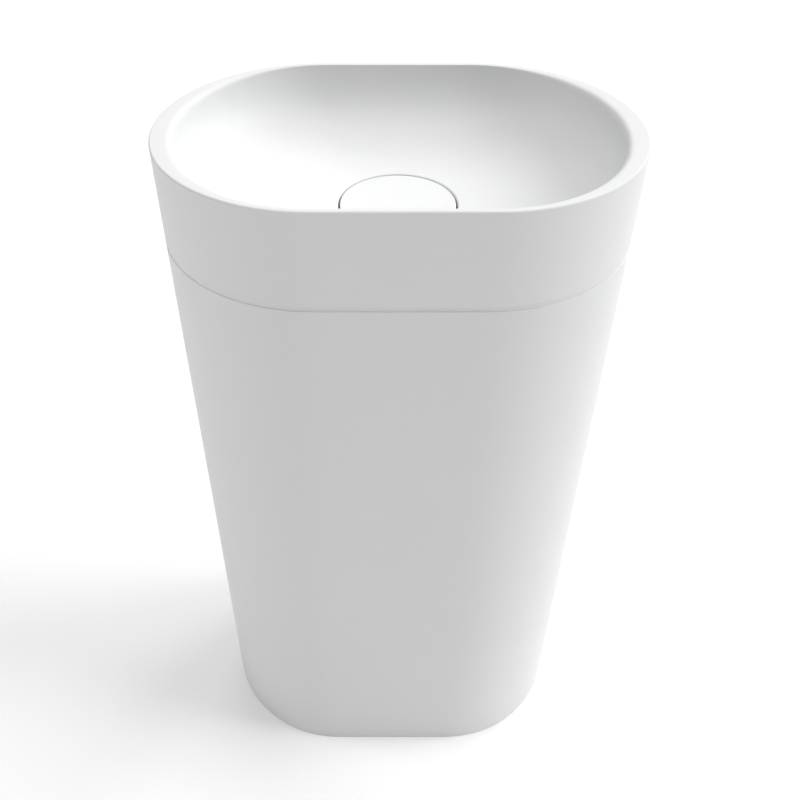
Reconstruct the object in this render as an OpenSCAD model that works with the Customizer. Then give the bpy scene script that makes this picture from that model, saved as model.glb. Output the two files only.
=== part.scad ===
// Free-standing pedestal basin: an obround basin on a hollow obround column of solid surface,
// with a push-to-open waste under a flush cover, a bottle trap, floor brackets and a rear service panel.
// Millimetres. +Z is up, the front faces -Y, and the origin is on the floor at the middle of the footprint.

/* [Overall] */
// Width across the two round ends
body_w = 490; // [420:5:600]
// Depth between the two flat faces
body_d = 330; // [300:5:400]
// Height of the rim above the floor
body_h = 900; // [800:5:950]
// Height of the basin that stands on the column
basin_h = 105; // [100:1:130]

/* [Basin] */
// Depth of the bowl from the rim to the waste cover
bowl_depth = 84; // [75:1:100]
// Width of the rim along the flat faces
rim_side = 6.5; // [5:0.5:12]
// Width of the rim at the round ends
rim_end = 17.5; // [8:0.5:30]
// How square the bowl's section is: 2 is a quarter ellipse, more is fuller
bowl_fullness = 2.5; // [2:0.1:4]
// Share of the bowl's depth that falls evenly towards the waste
bowl_fall = 0.08; // [0:0.01:0.2]
// Thickness of the bowl's shell
shell_wall = 11; // [8:0.5:14]
// Thickness of the basin's outer skirt
skirt_wall = 15; // [12:0.5:20]
// Radius on the rim's outer edge
rim_round = 2.5; // [1:0.5:4]
// Height of the shadow line under the basin
shadow_h = 5; // [3:0.5:8]
// Depth of the shadow line
shadow_depth = 1.5; // [1:0.5:3]

/* [Column] */
// Thickness of the column's wall
column_wall = 15; // [12:0.5:20]
// Radius on the column's edges
column_round = 1.5; // [0.5:0.5:3]
// Width of the gasket that the basin rests on
gasket_w = 6; // [4:0.5:7]
// Thickness of that gasket
gasket_t = 1.5; // [1:0.5:2.5]

/* [Service panel] */
// Distance of the panel's side edges from the ends of the flat wall
panel_margin = 12; // [6:1:20]
// Height of the rear service panel
panel_h = 400; // [300:10:480]
// Distance of the panel's upper edge below the column's top
panel_drop = 55; // [40:5:100]
// Thickness of the panel
panel_t = 7; // [5:0.5:8]
// Radius of the panel's corners
panel_round = 14; // [8:1:20]
// Gap round the panel
panel_gap = 0.8; // [0.5:0.1:1.5]
// Width of the ledge that the panel closes against
ledge_w = 14; // [12:1:20]
// Radius of the finger notch in the panel's lower edge
notch_r = 12; // [8:1:13]
// Radius of each catch magnet and strike
magnet_r = 4; // [3:0.5:5]

/* [Waste] */
// Diameter of the waste cover
cover_d = 122; // [110:1:140]
// Thickness of the waste cover
cover_t = 8; // [6:0.5:10]
// Gap round the waste cover, where the water runs down
cover_gap = 1.6; // [1:0.1:3]
// Depth of the well under the cover
well_depth = 22; // [22:1:30]
// Thickness of the well's wall and floor
well_wall = 14; // [10:1:18]
// How far the cover rises when the waste opens
cover_travel = 10; // [6:1:12]
// Outer radius of the waste's threaded tail
tail_r = 20.9; // [19:0.1:22]
// Wall of the waste's tail
tail_wall = 2.9; // [2.4:0.1:4]
// Length of the waste under its flange
tail_l = 84; // [80:1:110]
// Radius of the waste's flange
flange_r = 32; // [29:0.5:38]
// How far the plug stands out past the waste's bore
plug_lip = 6; // [4:0.5:8]

/* [Trap] */
// Outer radius of the waste pipes
pipe_r = 16; // [15:0.5:17]
// Wall of the waste pipes
pipe_wall = 1.5; // [1:0.1:2]
// Outer radius of the bottle trap's body
bottle_r = 29; // [27:0.5:32]
// Depth of water that seals the trap
water_seal = 58; // [50:1:75]
// Distance of the drop pipe's axis from the column's front wall
drop_back = 30; // [26:1:38]
// Bend radius of the drop pipe
bend_r = 35; // [28:1:36]
// Height of the drop pipe's open end above the floor
drop_end_z = 60; // [40:5:120]
// Turns that free the trap's cup
cup_turns = 3; // [2:1:4]
// Pitch of the cup's thread
cup_pitch = 4; // [3:0.5:5]

/* [Fixings] */
// Radius of the basin's fixing screws
screw_r = 3; // [2.5:0.5:4]
// Radius of the locating dowels
dowel_r = 4; // [3:0.5:5]
// Length of the locating dowels
dowel_l = 30; // [24:2:40]
// Radius of the lugs that take the screws and dowels
lug_r = 13; // [11:1:16]
// Height of each lug on the column
lug_h = 25; // [20:1:35]
// Distance of the fixing screws from the ends of the flat walls
screw_inset = 10; // [4:1:20]
// Distance of the floor brackets from the ends of the flat walls
bracket_margin = 8; // [4:1:20]
// Width of a floor bracket
bracket_w = 30; // [25:1:40]
// Length of a floor bracket's leg
bracket_leg = 40; // [35:1:50]
// Thickness of a floor bracket
bracket_t = 3; // [2:0.5:4]
// Distance of the floor hole from the column's wall
bracket_hole_y = 23; // [18:1:30]
// Radius of the floor hole
floor_hole_r = 4.5; // [3.5:0.5:5.5]

/* [Hidden] */

$fn = 96;
small_fn = 48;
cut = 1;              // how far a cutting shape runs past a face
fit = 0.05;           // radial clearance of a piece pressed or set in another
free = 0.3;           // radial clearance of a piece that moves
touch = 0.2;          // gap between faces that part when a piece moves
thread_gap = 0.1;     // radial clearance of a nut on its thread
lip_gap = 0.4;        // radial clearance of a nut's lip round its pipe
washer_gap = 0.4;     // how far a washer's edge stands inside its nut
screw_gap = 0.3;      // radial clearance of a screw through a plate
hole_spare = 1;       // how far a blind hole runs past the piece in it

// Outline and levels
flat_x = (body_w - body_d) / 2;       // half length of the flat faces
end_r = body_d / 2;                   // radius of the round ends
seat_z = body_h - basin_h;            // where the basin rests on the column
column_in = end_r - column_wall;      // inner radius of the column's ends
skirt_in = end_r - skirt_wall;        // inner radius of the basin's skirt
gasket_in = column_in + 3;            // inner radius of the gasket's groove
cover_r = cover_d / 2;
well_r = cover_r + cover_gap;
cover_z = body_h - bowl_depth;        // top of the waste cover
well_z = cover_z - well_depth;        // floor of the well
well_under_z = well_z - well_wall;    // underside of the well

// Waste levels and sizes
seal_t = 1.5;                         // the seal under the flange
flange_t = 2.5;
flange_z = well_z + seal_t;
flange_top_z = flange_z + flange_t;
tail_end_z = flange_z - tail_l;
tail_bore_r = tail_r - tail_wall;
tail_hole_r = tail_r + 1.6;           // hole in the well's floor
plug_seal_t = 2.3;
plug_t = 3;
plug_r = tail_bore_r + plug_lip;
plug_core_r = tail_bore_r;
plug_hub_wall = 2;
plug_z = flange_top_z + touch + plug_seal_t;
stem_r = 2.5;
insert_r = 6;                         // the cover's threaded insert
insert_grip = 5;                      // how deep the insert sits in the cover
cartridge_r = 6.5;
cartridge_bore_r = 5;
cartridge_top_z = well_z - 4;
cartridge_floor = 2;
cartridge_cap = 3;
cartridge_flange_t = 2.5;
collar_t = 3;
collar_gap = 14;                      // spring's length while the waste is shut
cartridge_l = cartridge_floor + collar_gap + collar_t + cover_travel + free + cartridge_cap;
cartridge_z = cartridge_top_z - cartridge_l;
spider_z = cartridge_top_z - 26;
spider_t = 4;
spider_hub_r = 9.5;
spider_arm_w = 4;
spider_arms = 3;
spider_root = 0.5;                    // how far an arm runs into the tail's wall
collar_z = cartridge_z + cartridge_floor + collar_gap;
spring_r = 3.8;
spring_wire_r = 0.45;
spring_turns = 6;
spring_steps = 14;                    // rings of the spring's tube in one turn
spring_sides = 8;
gasket_r = 33;                        // the gasket and nut under the well
under_gasket_t = 4;
backnut_t = 10;
backnut_r = 31;

// Trap levels and sizes
washer_t = 3;
pipe_in = pipe_r - pipe_wall;
pipe_flange_t = 2.5;
nut_wall = 5;
nut_lip = 6;
nut_ribs = 12;
nut_rib_r = 1.6;
dip_flange_z = tail_end_z - washer_t - pipe_flange_t;
inlet_nut_z = dip_flange_z - nut_lip;
inlet_nut_h = 30;
bottle_wall = 2.2;
bottle_top_z = tail_end_z - 56;
neck_h = 16;
neck_z = bottle_top_z + neck_h;
top_nut_h = 20;
outlet_z = bottle_top_z - 26;
dip_end_z = outlet_z - pipe_r - water_seal;
bottle_z = bottle_top_z - 78;
cup_wall = 4.6;
cup_r = bottle_r + free + cup_wall;
cup_lead = 8;                         // thread still held by the cup when it is about to come free
cup_top_z = bottle_z + cup_turns * cup_pitch + cup_lead;
cup_z = dip_end_z - 16;
cup_floor = 3;
cup_in = bottle_r - 2.5;              // inner radius of the cup below its seal
cup_collar_z = bottle_z - washer_t - 4;
cup_ribs = 10;
cup_rib_r = 2.5;
spigot_y = bottle_r + 23;             // end of the trap's outlet, in front of its axis
outlet_nut_h = 21;
outlet_nut_y = spigot_y - 12;
pipe_start_y = spigot_y - 10;
drop_reach = column_in - drop_back;   // from the trap's axis to the drop pipe's axis
socket_l = 45;                        // how much of the drop pipe goes into the floor's socket
bead_t = 3;                           // the bead that stops the socket
clip_gap = 0.25;
clip_wall = 3;
clip_h = 16;
clip_base_w = 30;
clip_base_h = 44;
clip_base_t = 4;
clip_neck_w = 12;
clip_mouth = 24;
clip_levels = [drop_end_z + 160, outlet_z - bend_r - 130];
clip_screw_r = 2;
clip_screw_l = 14;
clip_screw_dz = clip_base_h / 2 - 6;  // from a clip's middle up to its screw

// Fixing places and sizes
lug_bite = 2;                         // how far a lug runs into the wall beside it
screw_x = flat_x - screw_inset;
screw_y = column_in + lug_bite - lug_r;
screw_places = [for (x = [-1, 1], y = [-1, 1]) [x * screw_x, y * screw_y]];
dowel_x = flat_x + column_in + lug_bite + 1 - lug_r;
dowel_places = [for (x = [-1, 1]) [x * dowel_x, 0]];
lug_z = seat_z - lug_h;
washer_r = 8;
flat_washer_t = 1.5;
head_r = 5.5;
head_h = 4;
insert_out_r = screw_r + 1.5;
insert_l = 13;
basin_lug_top = cover_z + 24;         // inside the bowl's shell
bracket_screw_z = 26;
bracket_insert_l = 10;
bracket_x = flat_x - bracket_margin - bracket_w / 2;
bracket_places = [for (x = [-1, 1], y = [-1, 1]) [x * bracket_x, y]];
bracket_screw_dx = 9;
panel_w = 2 * (flat_x - panel_margin);
panel_z = seat_z - panel_drop - panel_h;
panel_in_y = end_r - panel_t;         // the panel's inner face
magnet_l = 5;
strike_t = 1;
magnet_inset = ledge_w / 2;
magnet_places = [for (x = [-1, 1], z = [0, 1])
    [x * (panel_w / 2 - magnet_inset), panel_z + magnet_inset + panel_round / 2
        + z * (panel_h - 2 * magnet_inset - panel_round)]];

// Bowl mesh
around = 96;          // steps round the bowl
down = 14;            // rings from the rim to the waste
bowl_eye_r = well_r - 4;

white = [0.93, 0.93, 0.93];
chrome = [0.75, 0.76, 0.78];
brass = [0.78, 0.65, 0.35];
steel = [0.6, 0.61, 0.63];
rubber = [0.12, 0.12, 0.12];
plastic = [0.86, 0.86, 0.84];

// ---- Shared shapes ----

// Carries a half section round the obround: X is the distance from the middle line and Y is the height
module obround(half = flat_x) {
    for (side = [0, 1]) {
        mirror([side, 0, 0]) translate([half, 0, 0]) rotate_extrude(angle = 180, start = -90) children();
        mirror([0, side, 0]) rotate([90, 0, 90]) linear_extrude(2 * half, center = true) children();
    }
}

// A half section from one radius to another with a rounded outer corner at the top and at the bottom
module section(r_in, r_out, z_low, z_high, round_low = 0, round_high = 0) {
    translate([r_in, z_low + round_low]) square([r_out - r_in, z_high - z_low - round_low - round_high]);
    if (round_low > 0) {
        translate([r_in, z_low]) square([r_out - r_in - round_low, round_low]);
        translate([r_out - round_low, z_low + round_low]) intersection() {
            circle(round_low);
            translate([0, -round_low]) square(round_low);
        }
    }
    if (round_high > 0) {
        translate([r_in, z_high - round_high]) square([r_out - r_in - round_high, round_high]);
        translate([r_out - round_high, z_high - round_high]) intersection() {
            circle(round_high);
            square(round_high);
        }
    }
}

module at_z(z) { translate([0, 0, z]) children(); }

// A ring or a plain disc between two heights
module ring(r_in, r_out, z_low, z_high) {
    difference() {
        at_z(z_low) cylinder(h = z_high - z_low, r = r_out);
        if (r_in > 0) at_z(z_low - cut) cylinder(h = z_high - z_low + 2 * cut, r = r_in);
    }
}

// A union nut round +Z: its lip is at the low end, and it is ribbed for the hand
module union_nut(lip_r, bore_r, h) {
    ring(lip_r, bore_r + nut_wall, 0, nut_lip);
    ring(bore_r, bore_r + nut_wall, nut_lip, h);
    for (i = [0 : nut_ribs - 1])
        rotate(i * 360 / nut_ribs) difference() {
            translate([bore_r + nut_wall, 0, 2]) cylinder(h = h - 4, r = nut_rib_r, $fn = small_fn);
            cylinder(h = h, r = bore_r + nut_wall / 2);
        }
}

// A flat plate in the XZ plane with rounded corners, its outer face at y = 0 and its thickness towards -Y
module rounded_plate(w, h, t, r) {
    rotate([90, 0, 0]) linear_extrude(t) {
        translate([-w / 2 + r, 0]) square([w - 2 * r, h]);
        translate([-w / 2, r]) square([w, h - 2 * r]);
        for (x = [-1, 1], z = [r, h - r]) translate([x * (w / 2 - r), z]) circle(r);
    }
}

// A pan-head screw along +Z: its head hangs below z = 0 and its shank rises above
module pan_screw(r, l, head, head_t) {
    cylinder(h = l, r = r, $fn = small_fn);
    difference() {
        at_z(-head_t) cylinder(h = head_t, r = head, $fn = small_fn);
        at_z(-head_t - cut) cylinder(h = head_t / 2 + cut, r = head / 2, $fn = 6);
    }
}

// ---- Bowl ----

// Distance from the middle to the bowl's edge in one direction: straight sides and elliptical ends
function edge_r(a, grow) =
    let (rx = body_w / 2 - flat_x - rim_end + grow,
         ry = end_r - rim_side + grow,
         c = abs(cos(a)),
         s = abs(sin(a)),
         side = s > 0 ? ry / s : 1e6,
         qa = pow(c / rx, 2) + pow(s / ry, 2),
         qb = -2 * flat_x * c / pow(rx, 2),
         qc = pow(flat_x / rx, 2) - 1)
    side * c <= flat_x ? side : (-qb + sqrt(pow(qb, 2) - 4 * qa * qc)) / (2 * qa);

// Share of the depth at a share of the way out from the waste to the edge
function bowl_share(u) =
    (1 - bowl_fall) * pow(1 - pow(u, bowl_fullness), 1 / bowl_fullness) + bowl_fall * (1 - u);

// Steps that crowd towards the steep wall
function bowl_u(k) = sin(90 * k / down);

function bowl_point(a, u, grow) =
    let (r = bowl_eye_r + u * (edge_r(a, grow) - bowl_eye_r))
    [r * cos(a), r * sin(a), body_h - (bowl_depth + grow) * bowl_share(u)];

// The space inside the bowl, or the same space grown by the shell's thickness, up past the rim
module bowl_space(grow = 0) {
    rings = [for (k = [0 : down])
        [for (i = [0 : around - 1]) bowl_point(i * 360 / around, bowl_u(k), grow)]];
    top = [for (i = [0 : around - 1])
        let (a = i * 360 / around) [edge_r(a, grow) * cos(a), edge_r(a, grow) * sin(a), body_h + 2 * cut]];
    all_rings = concat(rings, [top]);
    last = len(all_rings) - 1;
    quads = [for (k = [0 : last - 1], i = [0 : around - 1])
        let (j = (i + 1) % around)
        [k * around + i, (k + 1) * around + i, (k + 1) * around + j, k * around + j]];
    sides = [for (q = quads) each [[q[0], q[1], q[2]], [q[0], q[2], q[3]]]];
    floor_face = [[for (i = [0 : around - 1]) i]];
    lid_face = [[for (i = [around - 1 : -1 : 0]) last * around + i]];
    polyhedron([for (r = all_rings) each r], concat(sides, floor_face, lid_face));
}

module basin() {
    color(white) difference() {
        union() {
            obround() section(0, end_r, seat_z + shadow_h, body_h, 0, rim_round);
            obround() section(0, end_r - shadow_depth, seat_z, seat_z + shadow_h);
            at_z(well_under_z) cylinder(h = cover_z - well_under_z - cut, r = well_r + well_wall);
        }
        basin_hollow();
        bowl_space();
        ring(0, well_r, well_z, cover_z + 2 * cut);
        ring(0, tail_hole_r, well_under_z - cut, well_z + cut);
        for (p = screw_places) translate([p[0], p[1], seat_z - cut])
            cylinder(h = cut + insert_l + hole_spare, r = insert_out_r + fit, $fn = small_fn);
        for (p = dowel_places) translate([p[0], p[1], seat_z - cut])
            cylinder(h = cut + dowel_l / 2 + hole_spare, r = dowel_r + fit, $fn = small_fn);
    }
}

// The hollow between the basin's skirt and the bowl's shell
module basin_hollow() {
    difference() {
        obround() translate([0, seat_z - cut]) square([skirt_in, basin_h - rim_round]);
        bowl_space(shell_wall);
        at_z(well_under_z - cut) cylinder(h = basin_h, r = well_r + well_wall);
        for (p = concat(screw_places, dowel_places))
            translate([p[0], p[1], seat_z - 2 * cut])
                cylinder(h = basin_lug_top - seat_z + 2 * cut, r = lug_r);
    }
}

module basin_inserts() {
    color(brass) for (p = screw_places) translate([p[0], p[1], 0])
        ring(screw_r + fit, insert_out_r, seat_z, seat_z + insert_l);
}

// ---- Column ----

module seat_gasket() {
    color(rubber) obround()
        section(gasket_in, gasket_in + gasket_w, seat_z - gasket_t, seat_z);
}

module pedestal() {
    color(white) difference() {
        union() {
            difference() {
                obround() section(column_in, end_r, 0, seat_z, column_round, column_round / 2);
                obround() translate([gasket_in - fit, seat_z - gasket_t])
                    square([gasket_w + 2 * fit, gasket_t + cut]);
            }
            intersection() {
                union() {
                    for (p = concat(screw_places, dowel_places))
                        translate([p[0], p[1], lug_z]) cylinder(h = lug_h, r = lug_r);
                }
                obround() translate([0, lug_z]) square([column_in + 1, lug_h]);
            }
        }
        for (p = screw_places) translate([p[0], p[1], lug_z - cut])
            cylinder(h = lug_h + 2 * cut, r = screw_r + screw_gap, $fn = small_fn);
        for (p = dowel_places) translate([p[0], p[1], seat_z - dowel_l / 2 - hole_spare])
            cylinder(h = dowel_l / 2 + hole_spare + cut, r = dowel_r + fit, $fn = small_fn);
        service_opening();
        for (p = bracket_places, s = [-1, 1])
            translate([p[0] + s * bracket_screw_dx, p[1] * (column_in - cut), bracket_screw_z])
                rotate([-90 * p[1], 0, 0])
                    cylinder(h = cut + bracket_insert_l + hole_spare, r = insert_out_r + fit,
                             $fn = small_fn);
        for (z = clip_levels) translate([0, -column_in + cut, z + clip_screw_dz])
            rotate([90, 0, 0])
                cylinder(h = clip_screw_l - clip_base_t + hole_spare + cut, r = clip_screw_r + fit,
                         $fn = small_fn);
    }
}

// The panel's rebate, the way through inside its ledge, the finger slot and the magnets' pockets
module service_opening() {
    translate([0, end_r + cut, panel_z - panel_gap])
        rounded_plate(panel_w + 2 * panel_gap, panel_h + 2 * panel_gap,
                      panel_t + touch + cut, panel_round + panel_gap);
    translate([0, end_r + cut, panel_z + ledge_w])
        rounded_plate(panel_w - 2 * ledge_w, panel_h - 2 * ledge_w, column_wall + 2 * cut, panel_round / 2);
    translate([-notch_r, column_in - cut, panel_z - panel_gap])
        cube([2 * notch_r, column_wall - panel_t + 2 * cut, ledge_w + panel_gap + panel_round / 2]);
    for (p = magnet_places) translate([p[0], panel_in_y - touch - magnet_l, p[1]])
        rotate([-90, 0, 0]) cylinder(h = magnet_l + cut, r = magnet_r + fit, $fn = small_fn);
}

module locating_dowels() {
    color(steel) for (p = dowel_places) translate([p[0], p[1], seat_z - dowel_l / 2])
        cylinder(h = dowel_l, r = dowel_r, $fn = small_fn);
}

module basin_washers() {
    color(steel) for (p = screw_places) translate([p[0], p[1], 0])
        ring(screw_r + touch, washer_r, lug_z - flat_washer_t, lug_z);
}

module basin_screws() {
    color(steel) for (p = screw_places) translate([p[0], p[1], lug_z - flat_washer_t])
        pan_screw(screw_r, flat_washer_t + lug_h + insert_l - 1, head_r, head_h);
}

module panel_magnets() {
    color(steel) for (p = magnet_places) translate([p[0], panel_in_y - touch - magnet_l, p[1]])
        rotate([-90, 0, 0]) cylinder(h = magnet_l, r = magnet_r, $fn = small_fn);
}

module access_panel() {
    color(white) difference() {
        translate([0, end_r, panel_z]) rounded_plate(panel_w, panel_h, panel_t, panel_round);
        translate([0, end_r + cut, panel_z]) rotate([90, 0, 0])
            cylinder(h = panel_t + 2 * cut, r = notch_r);
        for (p = magnet_places) translate([p[0], panel_in_y - cut, p[1]])
            rotate([-90, 0, 0]) cylinder(h = strike_t + cut, r = magnet_r + fit, $fn = small_fn);
    }
}

module panel_strikes() {
    color(steel) for (p = magnet_places) translate([p[0], panel_in_y, p[1]])
        rotate([-90, 0, 0]) cylinder(h = strike_t, r = magnet_r, $fn = small_fn);
}

// ---- Floor fixings ----

module floor_brackets() {
    color(steel) for (p = bracket_places) mirror([0, p[1] < 0 ? 1 : 0, 0]) translate([p[0], 0, 0])
        difference() {
            union() {
                translate([-bracket_w / 2, column_in - bracket_t, 0])
                    cube([bracket_w, bracket_t, bracket_leg]);
                translate([-bracket_w / 2, column_in - bracket_leg, 0])
                    cube([bracket_w, bracket_leg, bracket_t]);
            }
            translate([0, column_in - bracket_hole_y, -cut])
                cylinder(h = bracket_t + 2 * cut, r = floor_hole_r);
            for (s = [-1, 1])
                translate([s * bracket_screw_dx, column_in - bracket_t - cut, bracket_screw_z])
                    rotate([-90, 0, 0])
                        cylinder(h = bracket_t + 2 * cut, r = screw_r + screw_gap, $fn = small_fn);
        }
}

module bracket_inserts() {
    color(brass) for (p = bracket_places, s = [-1, 1])
        translate([p[0] + s * bracket_screw_dx, p[1] * column_in, bracket_screw_z])
            rotate([-90 * p[1], 0, 0]) ring(screw_r + fit, insert_out_r, 0, bracket_insert_l);
}

module bracket_screws() {
    color(steel) for (p = bracket_places, s = [-1, 1])
        translate([p[0] + s * bracket_screw_dx, p[1] * (column_in - bracket_t), bracket_screw_z])
            rotate([-90 * p[1], 0, 0]) pan_screw(screw_r, bracket_t + bracket_insert_l - 1, head_r, head_h);
}

// ---- Waste ----

module waste_flange() {
    color(chrome) {
        difference() {
            union() {
                ring(0, flange_r, flange_z, flange_top_z);
                ring(0, tail_r, tail_end_z, flange_z);
            }
            ring(0, tail_bore_r, tail_end_z - cut, flange_top_z + cut);
        }
        difference() {
            union() {
                ring(0, spider_hub_r, spider_z, spider_z + spider_t);
                for (i = [0 : spider_arms - 1]) rotate(i * 360 / spider_arms)
                    translate([0, -spider_arm_w / 2, spider_z])
                        cube([tail_bore_r + spider_root, spider_arm_w, spider_t]);
            }
            ring(0, cartridge_r + fit, spider_z - cut, spider_z + spider_t + cut);
        }
    }
}

module flange_seal() { color(rubber) ring(tail_r + fit, flange_r - 1, well_z, flange_z); }

module under_gasket() {
    color(rubber) ring(tail_r + fit, gasket_r, well_under_z - under_gasket_t, well_under_z);
}

module backnut() {
    color(brass) difference() {
        at_z(well_under_z - under_gasket_t - backnut_t) cylinder(h = backnut_t, r = backnut_r, $fn = 6);
        ring(0, tail_r + fit, well_under_z - under_gasket_t - backnut_t - cut, well_under_z);
    }
}

module click_cartridge() {
    color(brass) difference() {
        union() {
            ring(0, cartridge_r, cartridge_z, cartridge_top_z);
            ring(0, spider_hub_r - 1, spider_z + spider_t, spider_z + spider_t + cartridge_flange_t);
        }
        ring(0, cartridge_bore_r, cartridge_z + cartridge_floor, cartridge_top_z - cartridge_cap);
        ring(0, stem_r + free, cartridge_top_z - cartridge_cap - cut, cartridge_top_z + cut);
    }
}

// A round wire carried along a helix, closed at both ends
module return_spring() {
    rise = collar_gap - 2 * spring_wire_r - 2 * touch;
    rings = spring_turns * spring_steps;
    low = cartridge_z + cartridge_floor + spring_wire_r + touch;
    points = [for (k = [0 : rings], i = [0 : spring_sides - 1])
        let (a = 360 * k / spring_steps,
             b = 360 * i / spring_sides,
             r = spring_r + spring_wire_r * cos(b))
        [r * cos(a), r * sin(a), low + rise * k / rings + spring_wire_r * sin(b)]];
    sides = [for (k = [0 : rings - 1], i = [0 : spring_sides - 1])
        let (j = (i + 1) % spring_sides)
        each [[k * spring_sides + i, (k + 1) * spring_sides + j, k * spring_sides + j],
              [k * spring_sides + i, (k + 1) * spring_sides + i, (k + 1) * spring_sides + j]]];
    start_face = [[for (i = [0 : spring_sides - 1]) i]];
    end_face = [[for (i = [spring_sides - 1 : -1 : 0]) rings * spring_sides + i]];
    color(steel) polyhedron(points, concat(sides, start_face, end_face));
}

module plunger_stem() {
    color(steel) {
        ring(0, stem_r, collar_z, cover_z - cover_t + insert_grip - 1);
        ring(0, cartridge_bore_r - free, collar_z, collar_z + collar_t);
    }
}

module waste_plug() {
    color(plastic) difference() {
        union() {
            ring(0, plug_r, plug_z, plug_z + plug_t);
            ring(0, plug_core_r, plug_z - plug_seal_t, plug_z);
            ring(0, insert_r + plug_hub_wall, plug_z + plug_t, cover_z - cover_t);
        }
        ring(0, stem_r + free, plug_z - plug_seal_t - cut, plug_z + plug_t + cut);
        ring(0, insert_r + fit, plug_z + plug_t, cover_z - cover_t + cut);
    }
}

module plug_seal() { color(rubber) ring(plug_core_r + fit, plug_r - 1, plug_z - plug_seal_t, plug_z); }

module cover_insert() {
    color(brass) ring(stem_r + free, insert_r, plug_z + plug_t, cover_z - cover_t + insert_grip);
}

module waste_cover() {
    color(white) difference() {
        rotate_extrude() section(0, cover_r, cover_z - cover_t, cover_z, 0, 0.5);
        ring(0, insert_r + fit, cover_z - cover_t - cut, cover_z - cover_t + insert_grip + fit);
    }
}

// ---- Trap ----

module trap_inlet_nut() {
    color(chrome) at_z(inlet_nut_z) union_nut(pipe_r + lip_gap, tail_r + thread_gap, inlet_nut_h);
}

module trap_inlet_washer() {
    color(rubber) ring(pipe_r + lip_gap, tail_r - washer_gap, tail_end_z - washer_t, tail_end_z);
}

module dip_tube() {
    color(chrome) difference() {
        union() {
            ring(0, pipe_r, dip_end_z, dip_flange_z + pipe_flange_t);
            ring(0, tail_r - washer_gap, dip_flange_z, dip_flange_z + pipe_flange_t);
        }
        ring(0, pipe_in, dip_end_z - cut, dip_flange_z + pipe_flange_t + cut);
    }
}

module trap_top_washer() {
    color(rubber) ring(pipe_r + fit, tail_r - washer_gap, neck_z, neck_z + washer_t);
}

module trap_top_nut() {
    color(chrome) at_z(neck_z + washer_t + nut_lip) mirror([0, 0, 1])
        union_nut(pipe_r + lip_gap, tail_r + thread_gap, top_nut_h);
}

module trap_body() {
    color(chrome) difference() {
        union() {
            ring(0, bottle_r, bottle_z, bottle_top_z);
            ring(0, tail_r, bottle_top_z, neck_z);
            translate([0, 0, outlet_z]) rotate([90, 0, 0]) cylinder(h = spigot_y, r = tail_r);
        }
        ring(0, bottle_r - bottle_wall, bottle_z - cut, bottle_top_z - 2 * bottle_wall);
        ring(0, pipe_r + free, bottle_top_z - 3 * bottle_wall, neck_z + cut);
        translate([0, 0, outlet_z]) rotate([90, 0, 0]) cylinder(h = spigot_y + cut, r = pipe_r + free);
    }
}

module trap_cup_seal() {
    color(rubber) ring(cup_in, bottle_r, bottle_z - touch - washer_t, bottle_z - touch);
}

module trap_cup() {
    seal_z = bottle_z - touch - washer_t;
    color(chrome) {
        difference() {
            union() {
                ring(0, cup_in + cup_floor, cup_z, cup_top_z);
                ring(0, cup_r, cup_collar_z, cup_top_z);
            }
            ring(0, cup_in, cup_z + cup_floor, seal_z + cut);
            ring(0, bottle_r + free, seal_z, cup_top_z + cut);
        }
        for (i = [0 : cup_ribs - 1]) rotate(i * 360 / cup_ribs) difference() {
            translate([cup_r, 0, cup_collar_z + 2])
                cylinder(h = cup_top_z - cup_collar_z - 4, r = cup_rib_r, $fn = small_fn);
            at_z(cup_collar_z) cylinder(h = cup_top_z - cup_collar_z, r = cup_r - cup_wall / 2);
        }
    }
}

module trap_outlet_washer() {
    color(rubber) translate([0, 0, outlet_z]) rotate([90, 0, 0])
        ring(pipe_r + fit, tail_r - washer_gap, spigot_y, spigot_y + washer_t);
}

module trap_outlet_nut() {
    color(chrome) translate([0, -outlet_nut_y - outlet_nut_h, outlet_z]) rotate([-90, 0, 0])
        union_nut(pipe_r + lip_gap, tail_r + thread_gap, outlet_nut_h);
}

// Runs out of the trap towards the front, bends down and ends above the floor
module outlet_pipe() {
    run = drop_reach - bend_r;
    color(chrome) difference() {
        union() {
            translate([0, -pipe_start_y, outlet_z]) rotate([90, 0, 0])
                cylinder(h = run - pipe_start_y, r = pipe_r);
            translate([0, -run, outlet_z - bend_r]) rotate([90, 0, -90])
                rotate_extrude(angle = 90) translate([bend_r, 0]) circle(pipe_r);
            translate([0, -drop_reach, drop_end_z])
                cylinder(h = outlet_z - bend_r - drop_end_z, r = pipe_r);
            translate([0, -drop_reach, drop_end_z + socket_l])
                cylinder(h = bead_t, r = pipe_r + bead_t / 2);
        }
        translate([0, -pipe_start_y + cut, outlet_z]) rotate([90, 0, 0])
            cylinder(h = run - pipe_start_y + cut, r = pipe_in);
        translate([0, -run, outlet_z - bend_r]) rotate([90, 0, -90])
            rotate_extrude(angle = 90) translate([bend_r, 0]) circle(pipe_in);
        translate([0, -drop_reach, drop_end_z - cut])
            cylinder(h = outlet_z - bend_r - drop_end_z + cut, r = pipe_in);
    }
}

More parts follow.
